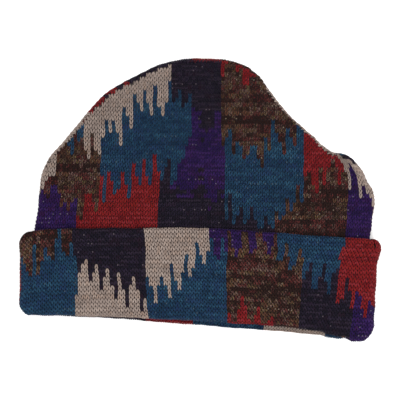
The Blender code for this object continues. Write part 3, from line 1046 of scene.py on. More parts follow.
def stitch_shape(point_down, fullness):
    """The stitch that is repeated over the knit, with its strand's turn and length stored:
    the length from 0 to 1 on the left leg and from 1 to 2 on the right."""
    mesh = bmesh.new()
    strand = mesh.verts.layers.float_vector.new("strand")
    way = 1.0 if point_down else -1.0
    for side in (-1.0, 1.0):
        rows = np.array(LEG_STATIONS, float)
        leg_x = side * rows[:, 0] * WALE
        leg_y = way * (rows[:, 1] - 0.5) * COURSE
        centre = np.stack([leg_x, leg_y, rows[:, 2]], axis=1)
        along = np.gradient(centre, axis=0)
        rings = []
        for k, row in enumerate(rows):
            share = k / (len(rows) - 1) + (1.0 if side > 0.0 else 0.0)
            if row[3] == 0.0:
                tip = mesh.verts.new(centre[k])
                tip[strand] = (0.0, 0.0, share)
                rings.append([tip])
                continue
            across = np.array([along[k][1], -along[k][0], 0.0])
            across /= np.linalg.norm(across)
            ring = []
            for n in range(LEG_SIDES):
                turn = 2.0 * math.pi * (n + 0.5) / LEG_SIDES + 0.5 * math.pi
                c, s = math.cos(turn), math.sin(turn)
                out = across * c * row[3] * fullness + np.array([0.0, 0.0, s * row[4]])
                vert = mesh.verts.new(centre[k] + out)
                vert[strand] = (c, s, share)
                ring.append(vert)
            rings.append(ring)
        for low, high in zip(rings[:-1], rings[1:]):
            join_rings(mesh, low, high)
    bmesh.ops.recalc_face_normals(mesh, faces=mesh.faces)
    data = bpy.data.meshes.new("stitch")
    mesh.to_mesh(data)
    mesh.free()
    data.shade_smooth()
    return new_object("stitch", data)


def math_node(tree, operation, first, second=None, clamp=False):
    """A math node fed by sockets or plain numbers; returns its output."""
    node = tree.nodes.new("ShaderNodeMath")
    node.operation = operation
    node.use_clamp = clamp
    for slot, value in enumerate((first, second)):
        if value is None:
            continue
        if isinstance(value, (int, float)):
            node.inputs[slot].default_value = value
        else:
            tree.links.new(value, node.inputs[slot])
    return node.outputs[0]


# Geometry Nodes: a stitch on every point of the flat knit, in its own yarn's material
KNIT_INPUTS = (
    ("Geometry", "NodeSocketGeometry"),
    ("Stitch", "NodeSocketObject"),
    ("Unevenness", "NodeSocketFloat"),
    ("Tilt", "NodeSocketFloat"),
    ("Seed", "NodeSocketInt"),
)


def stitch_tree(materials):
    tree = bpy.data.node_groups.new("knit_stitches", "GeometryNodeTree")
    face = tree.interface
    for label, kind in KNIT_INPUTS:
        face.new_socket(label, in_out="INPUT", socket_type=kind)
    face.new_socket("Geometry", in_out="OUTPUT", socket_type="NodeSocketGeometry")
    nodes, links = tree.nodes, tree.links
    given = nodes.new("NodeGroupInput")
    shape = nodes.new("GeometryNodeObjectInfo")
    links.new(given.outputs["Stitch"], shape.inputs["Object"])
    place = nodes.new("GeometryNodeInstanceOnPoints")
    links.new(given.outputs["Geometry"], place.inputs["Points"])
    links.new(shape.outputs["Geometry"], place.inputs["Instance"])
    size = nodes.new("FunctionNodeRandomValue")
    size.data_type = "FLOAT_VECTOR"
    uneven = given.outputs["Unevenness"]
    links.new(math_node(tree, "SUBTRACT", 1.0, uneven), size.inputs["Min"])
    links.new(math_node(tree, "ADD", 1.0, uneven), size.inputs["Max"])
    links.new(given.outputs["Seed"], size.inputs["Seed"])
    links.new(size.outputs["Value"], place.inputs["Scale"])
    turn = nodes.new("FunctionNodeRandomValue")
    turn.data_type = "FLOAT"
    tilt = given.outputs["Tilt"]
    links.new(math_node(tree, "MULTIPLY", tilt, -1.0), turn.inputs[2])
    links.new(tilt, turn.inputs[3])
    links.new(given.outputs["Seed"], turn.inputs["Seed"])
    angle = nodes.new("ShaderNodeCombineXYZ")
    links.new(turn.outputs[1], angle.inputs["Z"])
    links.new(angle.outputs[0], place.inputs["Rotation"])
    realize = nodes.new("GeometryNodeRealizeInstances")
    links.new(place.outputs["Instances"], realize.inputs["Geometry"])
    last = realize.outputs["Geometry"]
    yarn = nodes.new("GeometryNodeInputNamedAttribute")
    yarn.data_type = "INT"
    yarn.inputs["Name"].default_value = "yarn"
    for k, material in enumerate(materials):
        chosen = nodes.new("FunctionNodeCompare")
        chosen.data_type = "INT"
        chosen.operation = "EQUAL"
        links.new(yarn.outputs["Attribute"], chosen.inputs[2])
        chosen.inputs[3].default_value = k
        paint = nodes.new("GeometryNodeSetMaterial")
        paint.inputs["Material"].default_value = material
        links.new(last, paint.inputs["Geometry"])
        links.new(chosen.outputs["Result"], paint.inputs["Selection"])
        last = paint.outputs["Geometry"]
    out = nodes.new("NodeGroupOutput")
    links.new(last, out.inputs["Geometry"])
    return tree


def set_input(modifier, name, value):
    """Sets a Geometry Nodes input by its socket's identifier."""
    for socket in modifier.node_group.interface.items_tree:
        if socket.item_type == "SOCKET" and socket.in_out == "INPUT" and socket.name == name:
            modifier[socket.identifier] = value


# Values that drift along each course: columns in their table, and how far a course is shifted
STREAK_COLUMNS = 400
STREAK_SHIFT = 50.0

# Each stitch's marks are its own chance value and streaks, each with its share
OWN_TINT = 0.30
OWN_DYE = 0.80
OWN_FLECK = 0.55
OWN_DASH = 0.40
TINT_STREAKS = (
    # share, step of the seed, run in wales
    (0.36, 1, 14.0),
    (0.34, 2, 2.2),
)
DYE_STREAKS = (
    (0.20, 4, 2.6),
    (0.30, 6, 13.0),
)
FLECK_STREAKS = ((0.45, 5, 7.0),)
DASH_STREAKS = ((0.60, 7, 3.5),)

# The heather's dyes also drift over zones of several wales and courses
ZONE_SHARE = 0.12
ZONE_SEED = 3
ZONE_WALES = 7.0
ZONE_COURSES = 3.5

# How far the dyes reach along the heather's ramp, from stitch to stitch and in a band of one dye
DYE_REACH = 0.62
BAND_SPREAD = 0.42


def streaks(wale, course, seed, run):
    """A value from -1 to 1 for each stitch that drifts along its course over a few wales."""
    rng = np.random.default_rng(seed)
    rows = (course - course.min()).round().astype(int)
    table = rng.uniform(-1.0, 1.0, (rows.max() + 1, STREAK_COLUMNS))
    shift = rng.uniform(0.0, STREAK_SHIFT, rows.max() + 1)[rows]
    at = (wale - wale.min() + shift) / run
    i = at.astype(int)
    t = at - i
    return table[rows, i] * (1 - t) + table[rows, i + 1] * t


def stitch_marks(wale, course, bands, seed):
    """Each stitch's shade, place in the heather's dyes, and chance of a fleck and of a dash."""
    own = np.random.default_rng(seed).uniform(-1.0, 1.0, (4, len(wale)))

    def drift(mix):
        return sum(share * streaks(wale, course, seed + step, run) for share, step, run in mix)

    zone = streaks(wale / ZONE_WALES, course / ZONE_COURSES, seed + ZONE_SEED, 1.0)
    dye = drift(DYE_STREAKS) + ZONE_SHARE * zone + OWN_DYE * own[1]
    for first, last, top, bottom, name in bands:
        within = (wale >= first) & (wale <= last) & (course >= top) & (course <= bottom)
        banded = (HEATHER_PLACE[name] - 0.5) / DYE_REACH + BAND_SPREAD * own[1]
        dye = np.where(within, banded, dye)
    return {
        "tint": drift(TINT_STREAKS) + OWN_TINT * own[0],
        "dye": dye,
        "fleck": 0.5 + 0.5 * (OWN_FLECK * own[2] + drift(FLECK_STREAKS)),
        "dash": 0.5 + 0.5 * (OWN_DASH * own[3] + drift(DASH_STREAKS)),
    }


def flat_knit(name, wales, courses, yarns, marks):
    """The flat knit's points, each with its yarn and its own shade, dye and fleck."""
    data = bpy.data.meshes.new(name)
    points = np.stack([wales * WALE, -courses * COURSE, np.zeros(len(wales))], axis=1)
    data.from_pydata([tuple(p) for p in points], [], [])
    data.attributes.new("yarn", "INT", "POINT").data.foreach_set("value", yarns.astype(np.int32))
    for mark, values in marks.items():
        layer = data.attributes.new(mark, "FLOAT", "POINT")
        layer.data.foreach_set("value", values.astype(np.float32))
    return new_object(name, data)


def vectors(items, label):
    """The vectors with this label of a mesh's points or of one of its layers."""
    values = np.zeros(len(items) * 3)
    items.foreach_get(label, values)
    return values.reshape(-1, 3)


# Where each piece's stitches lie, and their yarns
LAID_YARNS = {}

STITCH_UNEVENNESS = 0.07
STITCH_TILT = 0.05

# Points of a strand above this share of its radius face out of the wall
STRAND_TOP = 0.6

# Wales and courses from which the chart's stitches are taken; those off the panel are dropped
ALL_WALES = np.arange(-5, 108)
CROWN_COURSES = np.arange(-3, 46)
CUFF_COURSES = np.arange(-1, 34)


def knit_stitches(name, node, cloth, courses, blocks, to_flat, point_down, fullness, seed, body_slot):
    """Knits a panel flat, stitch by stitch in its yarns, then lays it on the panel's form."""
    wale, course = (grid.ravel().astype(float) for grid in np.meshgrid(ALL_WALES, courses))
    kept = cloth.holds(*to_flat(wale, course))
    wale, course = wale[kept], course[kept]
    yarns = yarn_at(blocks, wale, course)
    marks = stitch_marks(wale, course, HEATHER_BANDS[node], seed)
    knit = flat_knit(name + "_flat", wale, course, yarns, marks)
    along, down = to_flat(wale, course)
    LAID_YARNS[name] = (cloth.place(along, down, np.zeros(len(wale))), yarns)
    shape = stitch_shape(point_down, fullness)
    nodes = knit.modifiers.new("stitches", "NODES")
    nodes.node_group = STITCH_TREE
    set_input(nodes, "Stitch", shape)
    set_input(nodes, "Unevenness", STITCH_UNEVENNESS)
    set_input(nodes, "Tilt", STITCH_TILT)
    set_input(nodes, "Seed", seed)
    graph = bpy.context.evaluated_depsgraph_get()
    graph.update()
    data = bpy.data.meshes.new_from_object(knit.evaluated_get(graph))
    data.name = name
    bpy.data.objects.remove(knit, do_unlink=True)
    bpy.data.objects.remove(shape, do_unlink=True)
    flat = vectors(data.vertices, "co")
    along, down = to_flat(flat[:, 0] / WALE, -flat[:, 1] / COURSE)
    laid = slack(cloth.place(along, down, flat[:, 2]))
    laid[:, 2] = np.maximum(laid[:, 2], 0.0)
    data.vertices.foreach_set("co", ((laid + PLAN_SHIFT) * MM).ravel())
    if facing_in(data, cloth, along, down):
        data.flip_normals()
    data.update()
    data.shade_smooth()
    piece = new_object(name, data)
    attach(piece, "root")
    return piece


def facing_in(data, cloth, along, down):
    """True if laying the knit on its form has turned its faces inwards."""
    data.update()
    surface = cloth.place(along, down, np.zeros(len(along)))
    out = cloth.place(along, down, np.ones(len(along))) - surface
    normals = vectors(data.vertices, "normal")
    upper = vectors(data.attributes["strand"].data, "vector")[:, 1] > STRAND_TOP
    return float((normals[upper] * out[upper]).sum()) < 0.0


# Knit walls behind the stitches

def wall_object(name, mesh, materials):
    data = bpy.data.meshes.new(name)
    mesh.to_mesh(data)
    mesh.free()
    for material in materials:
        data.materials.append(material)
    data.shade_smooth()
    return new_object(name, data)


def paint_ground(wall, wale, course, yarns, shade=1.0):
    """Stores each wall point's place in the knit, and the ground's colour there: the yarn's colour
    darkened as painted shade between the stitches, partly the darker backing yarns, times shade,
    which is painted shadow where it is below 1.
    """
    layer = wall.data.color_attributes.new("ground", "FLOAT_COLOR", "POINT")
    colours = SHADED_GROUND_COLOURS[yarns] * np.broadcast_to(shade, len(yarns))[:, None]
    rows = np.concatenate([colours, np.ones((len(yarns), 1))], axis=1)
    layer.data.foreach_set("color", rows.astype(np.float32).ravel())
    knit = np.stack([wale, course, np.zeros(len(wale))], axis=1)
    layer = wall.data.attributes.new("knit", "FLOAT_VECTOR", "POINT")
    layer.data.foreach_set("vector", knit.astype(np.float32).ravel())


def slacken(wall):
    """Gives a wall the knit's unevenness in plan."""
    moved = slack(vectors(wall.data.vertices, "co") / MM - PLAN_SHIFT)
    wall.data.vertices.foreach_set("co", ((moved + PLAN_SHIFT) * MM).ravel())
    wall.data.update()


def made_plain(wall):
    """Applies a wall's modifiers."""
    graph = bpy.context.evaluated_depsgraph_get()
    data = bpy.data.meshes.new_from_object(wall.evaluated_get(graph))
    wall.modifiers.clear()
    wall.data = data
    return wall


def crown_wall(name, front, material):
    """A crown panel's knit wall: a grid with its rounded side as a strip round three edges."""
    side = CrownSide(front)

    def mouth(x):
        lower = cuff_edge(x, BOTTOM) + FOLD_RADIUS + FOLD_LEG + SEWN_GAP
        return lower if front else lower - back_shows(x)

    grid = crown_grid(side.border, mouth, WALL_COLUMNS, WALL_ROWS)
    distance, _ = nearest_on(CROWN_CURVE, grid[..., 0], grid[..., 1])
    if front:
        heights = crown_front_height(grid[..., 0], grid[..., 1], distance)
    else:
        heights = crown_back_height(grid[..., 0], grid[..., 1])
    mesh = bmesh.new()
    new_vert = mesh.verts.new
    inside = [[new_vert(to_frame((x, y, z))) for (x, y), z in zip(row, zs)]
              for row, zs in zip(grid, heights)]
    rim = [row[0] for row in inside[:-1]] + inside[-1][:-1] + [row[-1] for row in inside[::-1]]
    way = 1.0 if front else -1.0
    end = way * 0.5 * math.pi
    start = side.roll + way * 0.5 * SEWN_GAP / CROWN_SIDE_REACH
    places = np.arange(len(side.chain), dtype=float)
    strips = []
    steps = FRONT_SIDE_STEPS if front else BACK_SIDE_STEPS
    for share in [0.0, RIM_ROW] + [k / steps for k in range(1, steps)]:
        row = side.point(places, start + (end - start) * share)
        strips.append([new_vert(to_frame(p)) for p in row])
    strips.append(rim)
    for low, high in zip(inside[:-1], inside[1:]):
        for a, b, c, d in zip(low[:-1], low[1:], high[1:], high[:-1]):
            mesh.faces.new((a, b, c, d) if front else (d, c, b, a))
    for outer, inner in zip(strips[:-1], strips[1:]):
        for a, b, c, d in zip(outer[:-1], outer[1:], inner[1:], inner[:-1]):
            mesh.faces.new((d, c, b, a) if front else (a, b, c, d))
    mesh.normal_update()
    inwards = [(v, v.normal * STITCH_SINK * MM) for v in mesh.verts]
    for v, step in inwards:
        v.co -= step
    wall = wall_object(name, mesh, [material])
    at = vectors(wall.data.vertices, "co") / MM - PLAN_SHIFT
    wale, course = (at[:, 0] - FIRST_WALE_X) / WALE, (FIRST_COURSE_Y - at[:, 1]) / COURSE
    blocks = CROWN_BLOCKS if front else CROWN_BACK_BLOCKS
    paint_ground(wall, wale, course, yarn_at(blocks, wale, course))
    slacken(wall)
    cloth = wall.modifiers.new("cloth", "SOLIDIFY")
    cloth.thickness = (WALL - STITCH_SINK - WALL_STITCH_DEPTH) * MM
    cloth.offset = -1.0
    cloth.use_even_offset = True
    cloth.use_quality_normals = True
    return made_plain(wall)


def cuff_section(cloth, guess, bulge):
    """The J section of a cuff half's wall at a place along it: Y, depth and courses, point by
    point down its outer face to the leg's end and back up its inner face."""
    outer_lift = -STITCH_SINK
    inner_depth = WALL - WALL_STITCH_DEPTH
    cap_y, fold_y = (float(v[0]) for v in cloth.edges(np.array([guess])))
    face = cap_y - fold_y
    arc = cloth.EDGE_ARC
    full = arc + face + math.pi * FOLD_RADIUS + FOLD_LEG
    face_share = np.linspace(0.0, 1.0, FACE_STEPS + 1)[1:]
    outer_downs = np.concatenate([
        np.linspace(-arc, arc, 2 * CAP_STEPS + 1)[CAP_STEPS:],
        arc + face * face_share,
        arc + face + math.pi * FOLD_RADIUS * np.linspace(0.0, 1.0, FOLD_STEPS + 1)[1:],
        np.linspace(full - FOLD_LEG, full, LEG_STEPS + 1)[1:],
    ])
    y_out, d_out = cloth.section(np.full(len(outer_downs), guess), outer_downs,
                                 np.full(len(outer_downs), outer_lift))
    fold_turn = np.linspace(0.0, math.pi, FOLD_STEPS + 1)[1:]
    fold_r = FOLD_RADIUS - inner_depth
    cap_turn = np.linspace(0.0, -0.5 * math.pi, CAP_STEPS + 1)[1:]
    cap_r = HALF_WALL + outer_lift
    y_in = np.concatenate([
        cap_y + cap_r * np.cos(cap_turn),
        cap_y - face * face_share,
        fold_y - fold_r * np.sin(fold_turn),
        y_out[-LEG_STEPS:],
    ])
    d_in = np.concatenate([
        -HALF_WALL + cap_r * np.sin(cap_turn),
        -inner_depth + bulge * np.sin(math.pi * face_share),
        -FOLD_RADIUS + fold_r * np.cos(fold_turn),
        np.full(LEG_STEPS, -FOLD_RADIUS - fold_r),
    ])
    inner_downs = np.concatenate([
        -np.arange(1.0, CAP_STEPS + 1),
        -CAP_STEPS - face * face_share,
        full - fold_turn,
        y_out[-LEG_STEPS:],
    ])
    y = np.concatenate([y_out, y_in[::-1]])
    depth = np.concatenate([d_out, d_in[::-1]])
    return y, depth, np.concatenate([outer_downs, inner_downs[::-1]]) / COURSE


def cuff_wall(name, cloth, material):
    """A cuff half's knit wall: its J section carried round from one side seam to the other."""
    way = 1.0 if cloth.front else -1.0
    quarter_turn = 0.5 * math.pi
    mesh = bmesh.new()
    rings = []
    wales = []
    courses = []
    painted_notch_shadow = []
    middle = np.linspace(-cloth.HALF_RUN, cloth.HALF_RUN, CUFF_WALL_COLUMNS + 1)
    shares = np.linspace(0.0, 1.0, CUFF_SIDE_STEPS + 1)[:-1]
    stations = [(-1, share) for share in shares]
    stations += [(0, place) for place in middle]
    stations += [(1, share) for share in shares[::-1]]
    for side, where in stations:
        guess = side * (cloth.HALF_RUN + cloth.quarter * (1.0 - where)) if side else where
        bulge = CUFF_BULGE if cloth.front and side == 0 else 0.0
        y, depth, down = cuff_section(cloth, guess, bulge)
        if side:
            first = cloth.seam_turn(np.full(len(y), side), y) + way * 0.5 * SEWN_GAP / CUFF_SIDE_REACH
            turn = first + (way * quarter_turn - first) * where
            along = side * (cloth.HALF_RUN + cloth.quarter * (1.0 - way * turn / quarter_turn))
        else:
            along = np.full(len(y), where)
        points = cloth.stand(along, y, depth)
        rings.append([mesh.verts.new(to_frame(p)) for p in points])
        wales.append(np.full(len(y), (guess + cloth.MIDDLE - FIRST_WALE_X) / WALE))
        courses.append(down)
        # Painted shadow: in the right seam's notch the ground's colour is darkened to near-black
        notched = (side > 0) & (where < NOTCH_SHARE) & (height_share(CUFF_RIGHT, y) > NOTCH_FROM)
        painted_notch_shadow.append(np.where(notched, NOTCH_PAINTED_SHADOW, 1.0))
    for near, far in zip(rings[:-1], rings[1:]):
        for k in range(len(near)):
            m = (k + 1) % len(near)
            mesh.faces.new((near[k], near[m], far[m], far[k]))
    for ring in (rings[0], rings[-1]):
        last = len(ring) - 1
        for k in range(last // 2):
            if k + 1 == last - 1 - k:
                mesh.faces.new((ring[k], ring[k + 1], ring[last - k]))
            else:
                mesh.faces.new((ring[k], ring[k + 1], ring[last - 1 - k], ring[last - k]))
    bmesh.ops.recalc_face_normals(mesh, faces=mesh.faces)
    wall = wall_object(name, mesh, [material])
    wale, course = np.concatenate(wales), np.concatenate(courses)
    blocks = CUFF_BLOCKS if cloth.front else CUFF_BACK_BLOCKS
    paint_ground(wall, wale, course, yarn_at(blocks, wale, course), np.concatenate(painted_notch_shadow))
    slacken(wall)
    return wall


# Yarns

YARN_COLOURS = {
    # yarn: mean, deep and pale fibres, as linear colours
    "oatmeal": ((0.256, 0.200, 0.174), (0.094, 0.070, 0.062), (0.430, 0.355, 0.310)),
    "teal": ((0.0070, 0.0305, 0.0660), (0.0020, 0.0090, 0.0240), (0.0300, 0.0950, 0.1500)),
    "purple": ((0.0132, 0.0037, 0.0460), (0.0046, 0.0020, 0.0170), (0.0480, 0.0180, 0.1200)),
    "aubergine": ((0.0064, 0.0042, 0.0115), (0.0026, 0.0020, 0.0052), (0.0290, 0.0185, 0.0400)),
    "red": ((0.1380, 0.0048, 0.0075), (0.0400, 0.0020, 0.0035), (0.2600, 0.0240, 0.0250)),
    "brown": ((0.0330, 0.0165, 0.0130), (0.0120, 0.0070, 0.0060), (0.1300, 0.0850, 0.0500)),
}

HEATHER = (
    # place on the ramp, linear colour
    (0.00, (0.012, 0.004, 0.004)),
    (0.09, (0.026, 0.010, 0.009)),
    (0.17, (0.130, 0.012, 0.017)),
    (0.25, (0.050, 0.016, 0.011)),
    (0.33, (0.170, 0.043, 0.038)),
    (0.41, (0.014, 0.005, 0.004)),
    (0.48, (0.116, 0.063, 0.060)),
    (0.55, (0.015, 0.006, 0.004)),
    (0.62, (0.290, 0.178, 0.152)),
    (0.69, (0.019, 0.008, 0.006)),
    (0.77, (0.176, 0.130, 0.048)),
    (0.85, (0.019, 0.008, 0.006)),
    (0.93, (0.150, 0.060, 0.034)),
)
HEATHER_CORE = (0.020, 0.008, 0.006)
HEATHER_DEEP = (0.014, 0.005, 0.004)
HEATHER_FROM = 0.25
HEATHER_GAIN = 2.6

# How far the dye drifts along the heather's fibres and moves with their shade, where its ramp
# starts, and how fully one ply takes it
DYE_DRIFT = 1.25
DYE_BY_SHADE = 0.2
DYE_START = 0.10
DYED_PLY = 1.5

ROUGH = 0.92
SPECULAR = 0.10
SHEEN = 0.03
GAP_SHADE_AND_BACKING = {
    # share of the yarn's own colour left in the ground behind its stitches: painted shade in the gaps
    # between stitches, and partly the darker backing yarns
    "oatmeal": 0.18,
    "teal": 0.30,
    "purple": 0.55,
    "aubergine": 0.65,
    "red": 0.42,
    "brown": 0.24,
}
# Painted shade: the ground behind the stitches is a darker copy of each yarn's colour
SHADED_GROUND_COLOURS = np.array([np.array(YARN_COLOURS[yarn][0]) * GAP_SHADE_AND_BACKING[yarn] for yarn in YARNS])

# Near-black mottle in the ground, partly the other side's yarns and partly painted shade in the gaps
# between stitches, and the height of its ribs in metres
BACKING_AND_SHADE_MOTTLE = (0.020, 0.015, 0.018)
MOTTLE_FROM = 0.55
MOTTLE_GAIN = 3.0
GROUND_BUMP = 0.0006

# Noise in the yarns: cells a metre, detail and stretch
COARSE_FIBRES = (700.0, 2.0, (0.6, 1.0, 1.0))
FINE_FIBRES = (2600.0, 2.0)
DYE_NOISE = (1000.0, 1.0)
MOTTLE_NOISE = (900.0, 2.0)

# A strand's two plies: turns in a leg, fibres in cells a metre, how high the plies stand out against
# the fibres, the middle of the painted shade in the grooves between them, and the depth of it all in
# metres
STRAND_TURNS = 2.3
FIBRES = 2400.0
FIBRE_DETAIL = 3.0
PLY_RELIEF = 0.45
PLY_MIDDLE = 0.6
BUMP_REACH = 0.00012

# Where a fleck and a dash lie along a leg of the stitch
FLECK_FROM = 0.28
FLECK_TO = 0.42
DASH_FROM = 0.30
DASH_TO = 0.52


class Group:
    """A shader node group under construction."""

    def __init__(self, name, inputs, outputs):
        self.tree = bpy.data.node_groups.new(name, "ShaderNodeTree")
        kinds = {"value": "NodeSocketFloat", "colour": "NodeSocketColor"}
        for label, kind in inputs:
            self.tree.interface.new_socket(label, in_out="INPUT", socket_type=kinds[kind])
        for label, kind in outputs:
            self.tree.interface.new_socket(label, in_out="OUTPUT", socket_type=kinds[kind])
        self.given = self.tree.nodes.new("NodeGroupInput")
        self.out = self.tree.nodes.new("NodeGroupOutput")

    def math(self, operation, first, second=None, clamp=False):
        return math_node(self.tree, operation, first, second, clamp)

    def link(self, a, b):
        self.tree.links.new(a, b)


def mix_node(tree, share, low, high):
    node = tree.nodes.new("ShaderNodeMix")
    node.data_type = "RGBA"
    for slot, value in ((0, share), (6, low), (7, high)):
        if isinstance(value, tuple):
            node.inputs[slot].default_value = (*value, 1.0)
        elif isinstance(value, float):
            node.inputs[slot].default_value = value
        else:
            tree.links.new(value, node.inputs[slot])
    return node.outputs[2]


def attribute_node(tree, name):
    node = tree.nodes.new("ShaderNodeAttribute")
    node.attribute_name = name
    return node


def noise_node(tree, scale, detail, stretch=(1.0, 1.0, 1.0)):
    """Noise on Object coordinates; scale is in cells a metre."""
    coords = tree.nodes.new("ShaderNodeTexCoord")
    place = tree.nodes.new("ShaderNodeMapping")
    place.inputs["Scale"].default_value = stretch
    noise = tree.nodes.new("ShaderNodeTexNoise")
    noise.inputs["Detail"].default_value = detail
    tree.links.new(coords.outputs["Object"], place.inputs["Vector"])
    tree.links.new(place.outputs["Vector"], noise.inputs["Vector"])
    if isinstance(scale, (int, float)):
        noise.inputs["Scale"].default_value = scale
    else:
        tree.links.new(scale, noise.inputs["Scale"])
    return noise.outputs["Fac"]


def twist_group():
    """The two plies of a strand, wound round each other, and its fibres."""
    group = Group("strand_twist", [("Turns", "value"), ("Fibres", "value")],
                  [("Height", "value"), ("Ply", "value")])
    tree = group.tree
    strand = attribute_node(tree, "strand")
    split = tree.nodes.new("ShaderNodeSeparateXYZ")
    group.link(strand.outputs["Vector"], split.inputs[0])
    x, y, along = split.outputs
    turns = group.math("MULTIPLY", along, group.given.outputs["Turns"])
    wound = group.math("MULTIPLY", turns, 2 * math.pi)
    double_cos = group.math("SUBTRACT", group.math("MULTIPLY", x, x), group.math("MULTIPLY", y, y))
    double_sin = group.math("MULTIPLY", group.math("MULTIPLY", x, y), 2.0)
    ply = group.math("ADD", group.math("MULTIPLY", double_cos, group.math("COSINE", wound)),
                     group.math("MULTIPLY", double_sin, group.math("SINE", wound)))
    fibre = noise_node(tree, group.given.outputs["Fibres"], FIBRE_DETAIL)
    high = group.math("ADD", group.math("MULTIPLY", ply, PLY_RELIEF), fibre)
    group.link(high, group.out.inputs["Height"])
    half = group.math("MULTIPLY", ply, 0.5)
    group.link(group.math("ADD", half, 0.5, clamp=True), group.out.inputs["Ply"])
    return tree


def shade_group():
    """The place of a point between a yarn's deep and pale fibres, 0.5 at its mean, lowered in the
    grooves between the plies as painted shade.
    """
    given = [(label, "value") for label in ("Own Shade", "Fibre Shade", "Ply", "Ply Shade")]
    group = Group("yarn_shade", given, [("Shade", "value")])
    tree = group.tree
    tint = attribute_node(tree, "tint").outputs["Fac"]
    coarse = noise_node(tree, *COARSE_FIBRES)
    fine = noise_node(tree, *FINE_FIBRES)
    both = group.math("SUBTRACT", group.math("ADD", coarse, fine), 1.0)
    fibres = group.math("MULTIPLY", both, group.given.outputs["Fibre Shade"])
    own = group.math("MULTIPLY", tint, group.given.outputs["Own Shade"])
    # Painted shade: the grooves between the two plies are darkened
    ply = group.math("SUBTRACT", group.given.outputs["Ply"], PLY_MIDDLE)
    groove_shade = group.math("MULTIPLY", ply, group.given.outputs["Ply Shade"])
    total = group.math("ADD", group.math("ADD", fibres, own), groove_shade)
    group.link(group.math("ADD", total, 0.5, clamp=True), group.out.inputs["Shade"])
    return tree


def blend_group():
    """A yarn's colour: deep, mean or pale fibres by shade."""
    colours = [(label, "colour") for label in ("Deep", "Mean", "Pale")]
    group = Group("yarn_blend", [("Shade", "value")] + colours, [("Color", "colour")])
    tree, given = group.tree, group.given.outputs
    low = group.math("MULTIPLY", given["Shade"], 2.0, clamp=True)
    high = group.math("SUBTRACT", group.math("MULTIPLY", given["Shade"], 2.0), 1.0, clamp=True)
    deep = mix_node(tree, low, given["Deep"], given["Mean"])
    group.link(mix_node(tree, high, deep, given["Pale"]), group.out.inputs["Color"])
    return tree


def fleck_group():
    """Where the other side's yarns peep through: a fleck on the left leg of some stitches, and
    a dash across both legs of some runs of stitches."""
    group = Group("flecks", [("Flecks", "value"), ("Dashes", "value")],
                  [("Fleck", "value"), ("Dash", "value")])
    tree, given = group.tree, group.given.outputs
    split = tree.nodes.new("ShaderNodeSeparateXYZ")
    group.link(attribute_node(tree, "strand").outputs["Vector"], split.inputs[0])
    for mark, amount, first, last, place in (
        ("fleck", "Flecks", FLECK_FROM, FLECK_TO, split.outputs[2]),
        ("dash", "Dashes", DASH_FROM, DASH_TO, group.math("MODULO", split.outputs[2], 1.0)),
    ):
        within = group.math("MULTIPLY", group.math("GREATER_THAN", place, first),
                            group.math("LESS_THAN", place, last))
        chosen = group.math("LESS_THAN", attribute_node(tree, mark).outputs["Fac"], given[amount])
        group.link(group.math("MULTIPLY", within, chosen), group.out.inputs[mark.capitalize()])
    return tree


TWIST, SHADE, BLEND, FLECKS = twist_group(), shade_group(), blend_group(), fleck_group()

YARN_FINISH = {
    # yarn: own shade, fibre shade, painted shade in the grooves between the plies, share of flecks,
    # fleck
    "oatmeal": (0.20, 0.60, 0.30, 0.12, (0.10, 0.070, 0.062)),
    "teal": (0.30, 0.90, 0.34, 0.20, (0.045, 0.070, 0.095)),
    "purple": (0.34, 0.80, 0.34, 0.18, (0.092, 0.074, 0.112)),
    "aubergine": (0.36, 0.80, 0.34, 0.20, (0.080, 0.062, 0.076)),
    "red": (0.26, 0.90, 0.34, 0.24, (0.030, 0.005, 0.008)),
    "brown": (0.62, 1.10, 0.10, 0.16, (0.150, 0.115, 0.085)),
}

YARN_TONES = {
    # yarn: second tone of the dye, its share, share of dashes, dash
    "oatmeal": ((0.310, 0.205, 0.152), 0.40, 0.22, (0.300, 0.235, 0.200)),
    "teal": ((0.0105, 0.0245, 0.0780), 0.60, 0.24, (0.0030, 0.0150, 0.0420)),
    "purple": ((0.0260, 0.0038, 0.0340), 0.60, 0.38, (0.0280, 0.0095, 0.0660)),
    "aubergine": ((0.0140, 0.0040, 0.0105), 0.60, 0.40, (0.0180, 0.0118, 0.0225)),
    "red": ((0.1500, 0.0075, 0.0040), 0.50, 0.34, (0.1750, 0.0150, 0.0195)),
    "brown": ((0.0330, 0.0165, 0.0130), 0.0, 0.0, (0.0330, 0.0165, 0.0130)),
}


def group_node(tree, group, **values):
    node = tree.nodes.new("ShaderNodeGroup")
    node.node_tree = group
    for label, value in values.items():
        node.inputs[label.replace("_", " ")].default_value = value
    return node


def knit_shader(material):
    """The material's shader with the constants that all the knit shares."""
    material.use_nodes = True
    shader = material.node_tree.nodes["Principled BSDF"]
    shader.inputs["Roughness"].default_value = ROUGH
    shader.inputs["Specular IOR Level"].default_value = SPECULAR
    shader.inputs["Sheen Weight"].default_value = SHEEN
    return shader


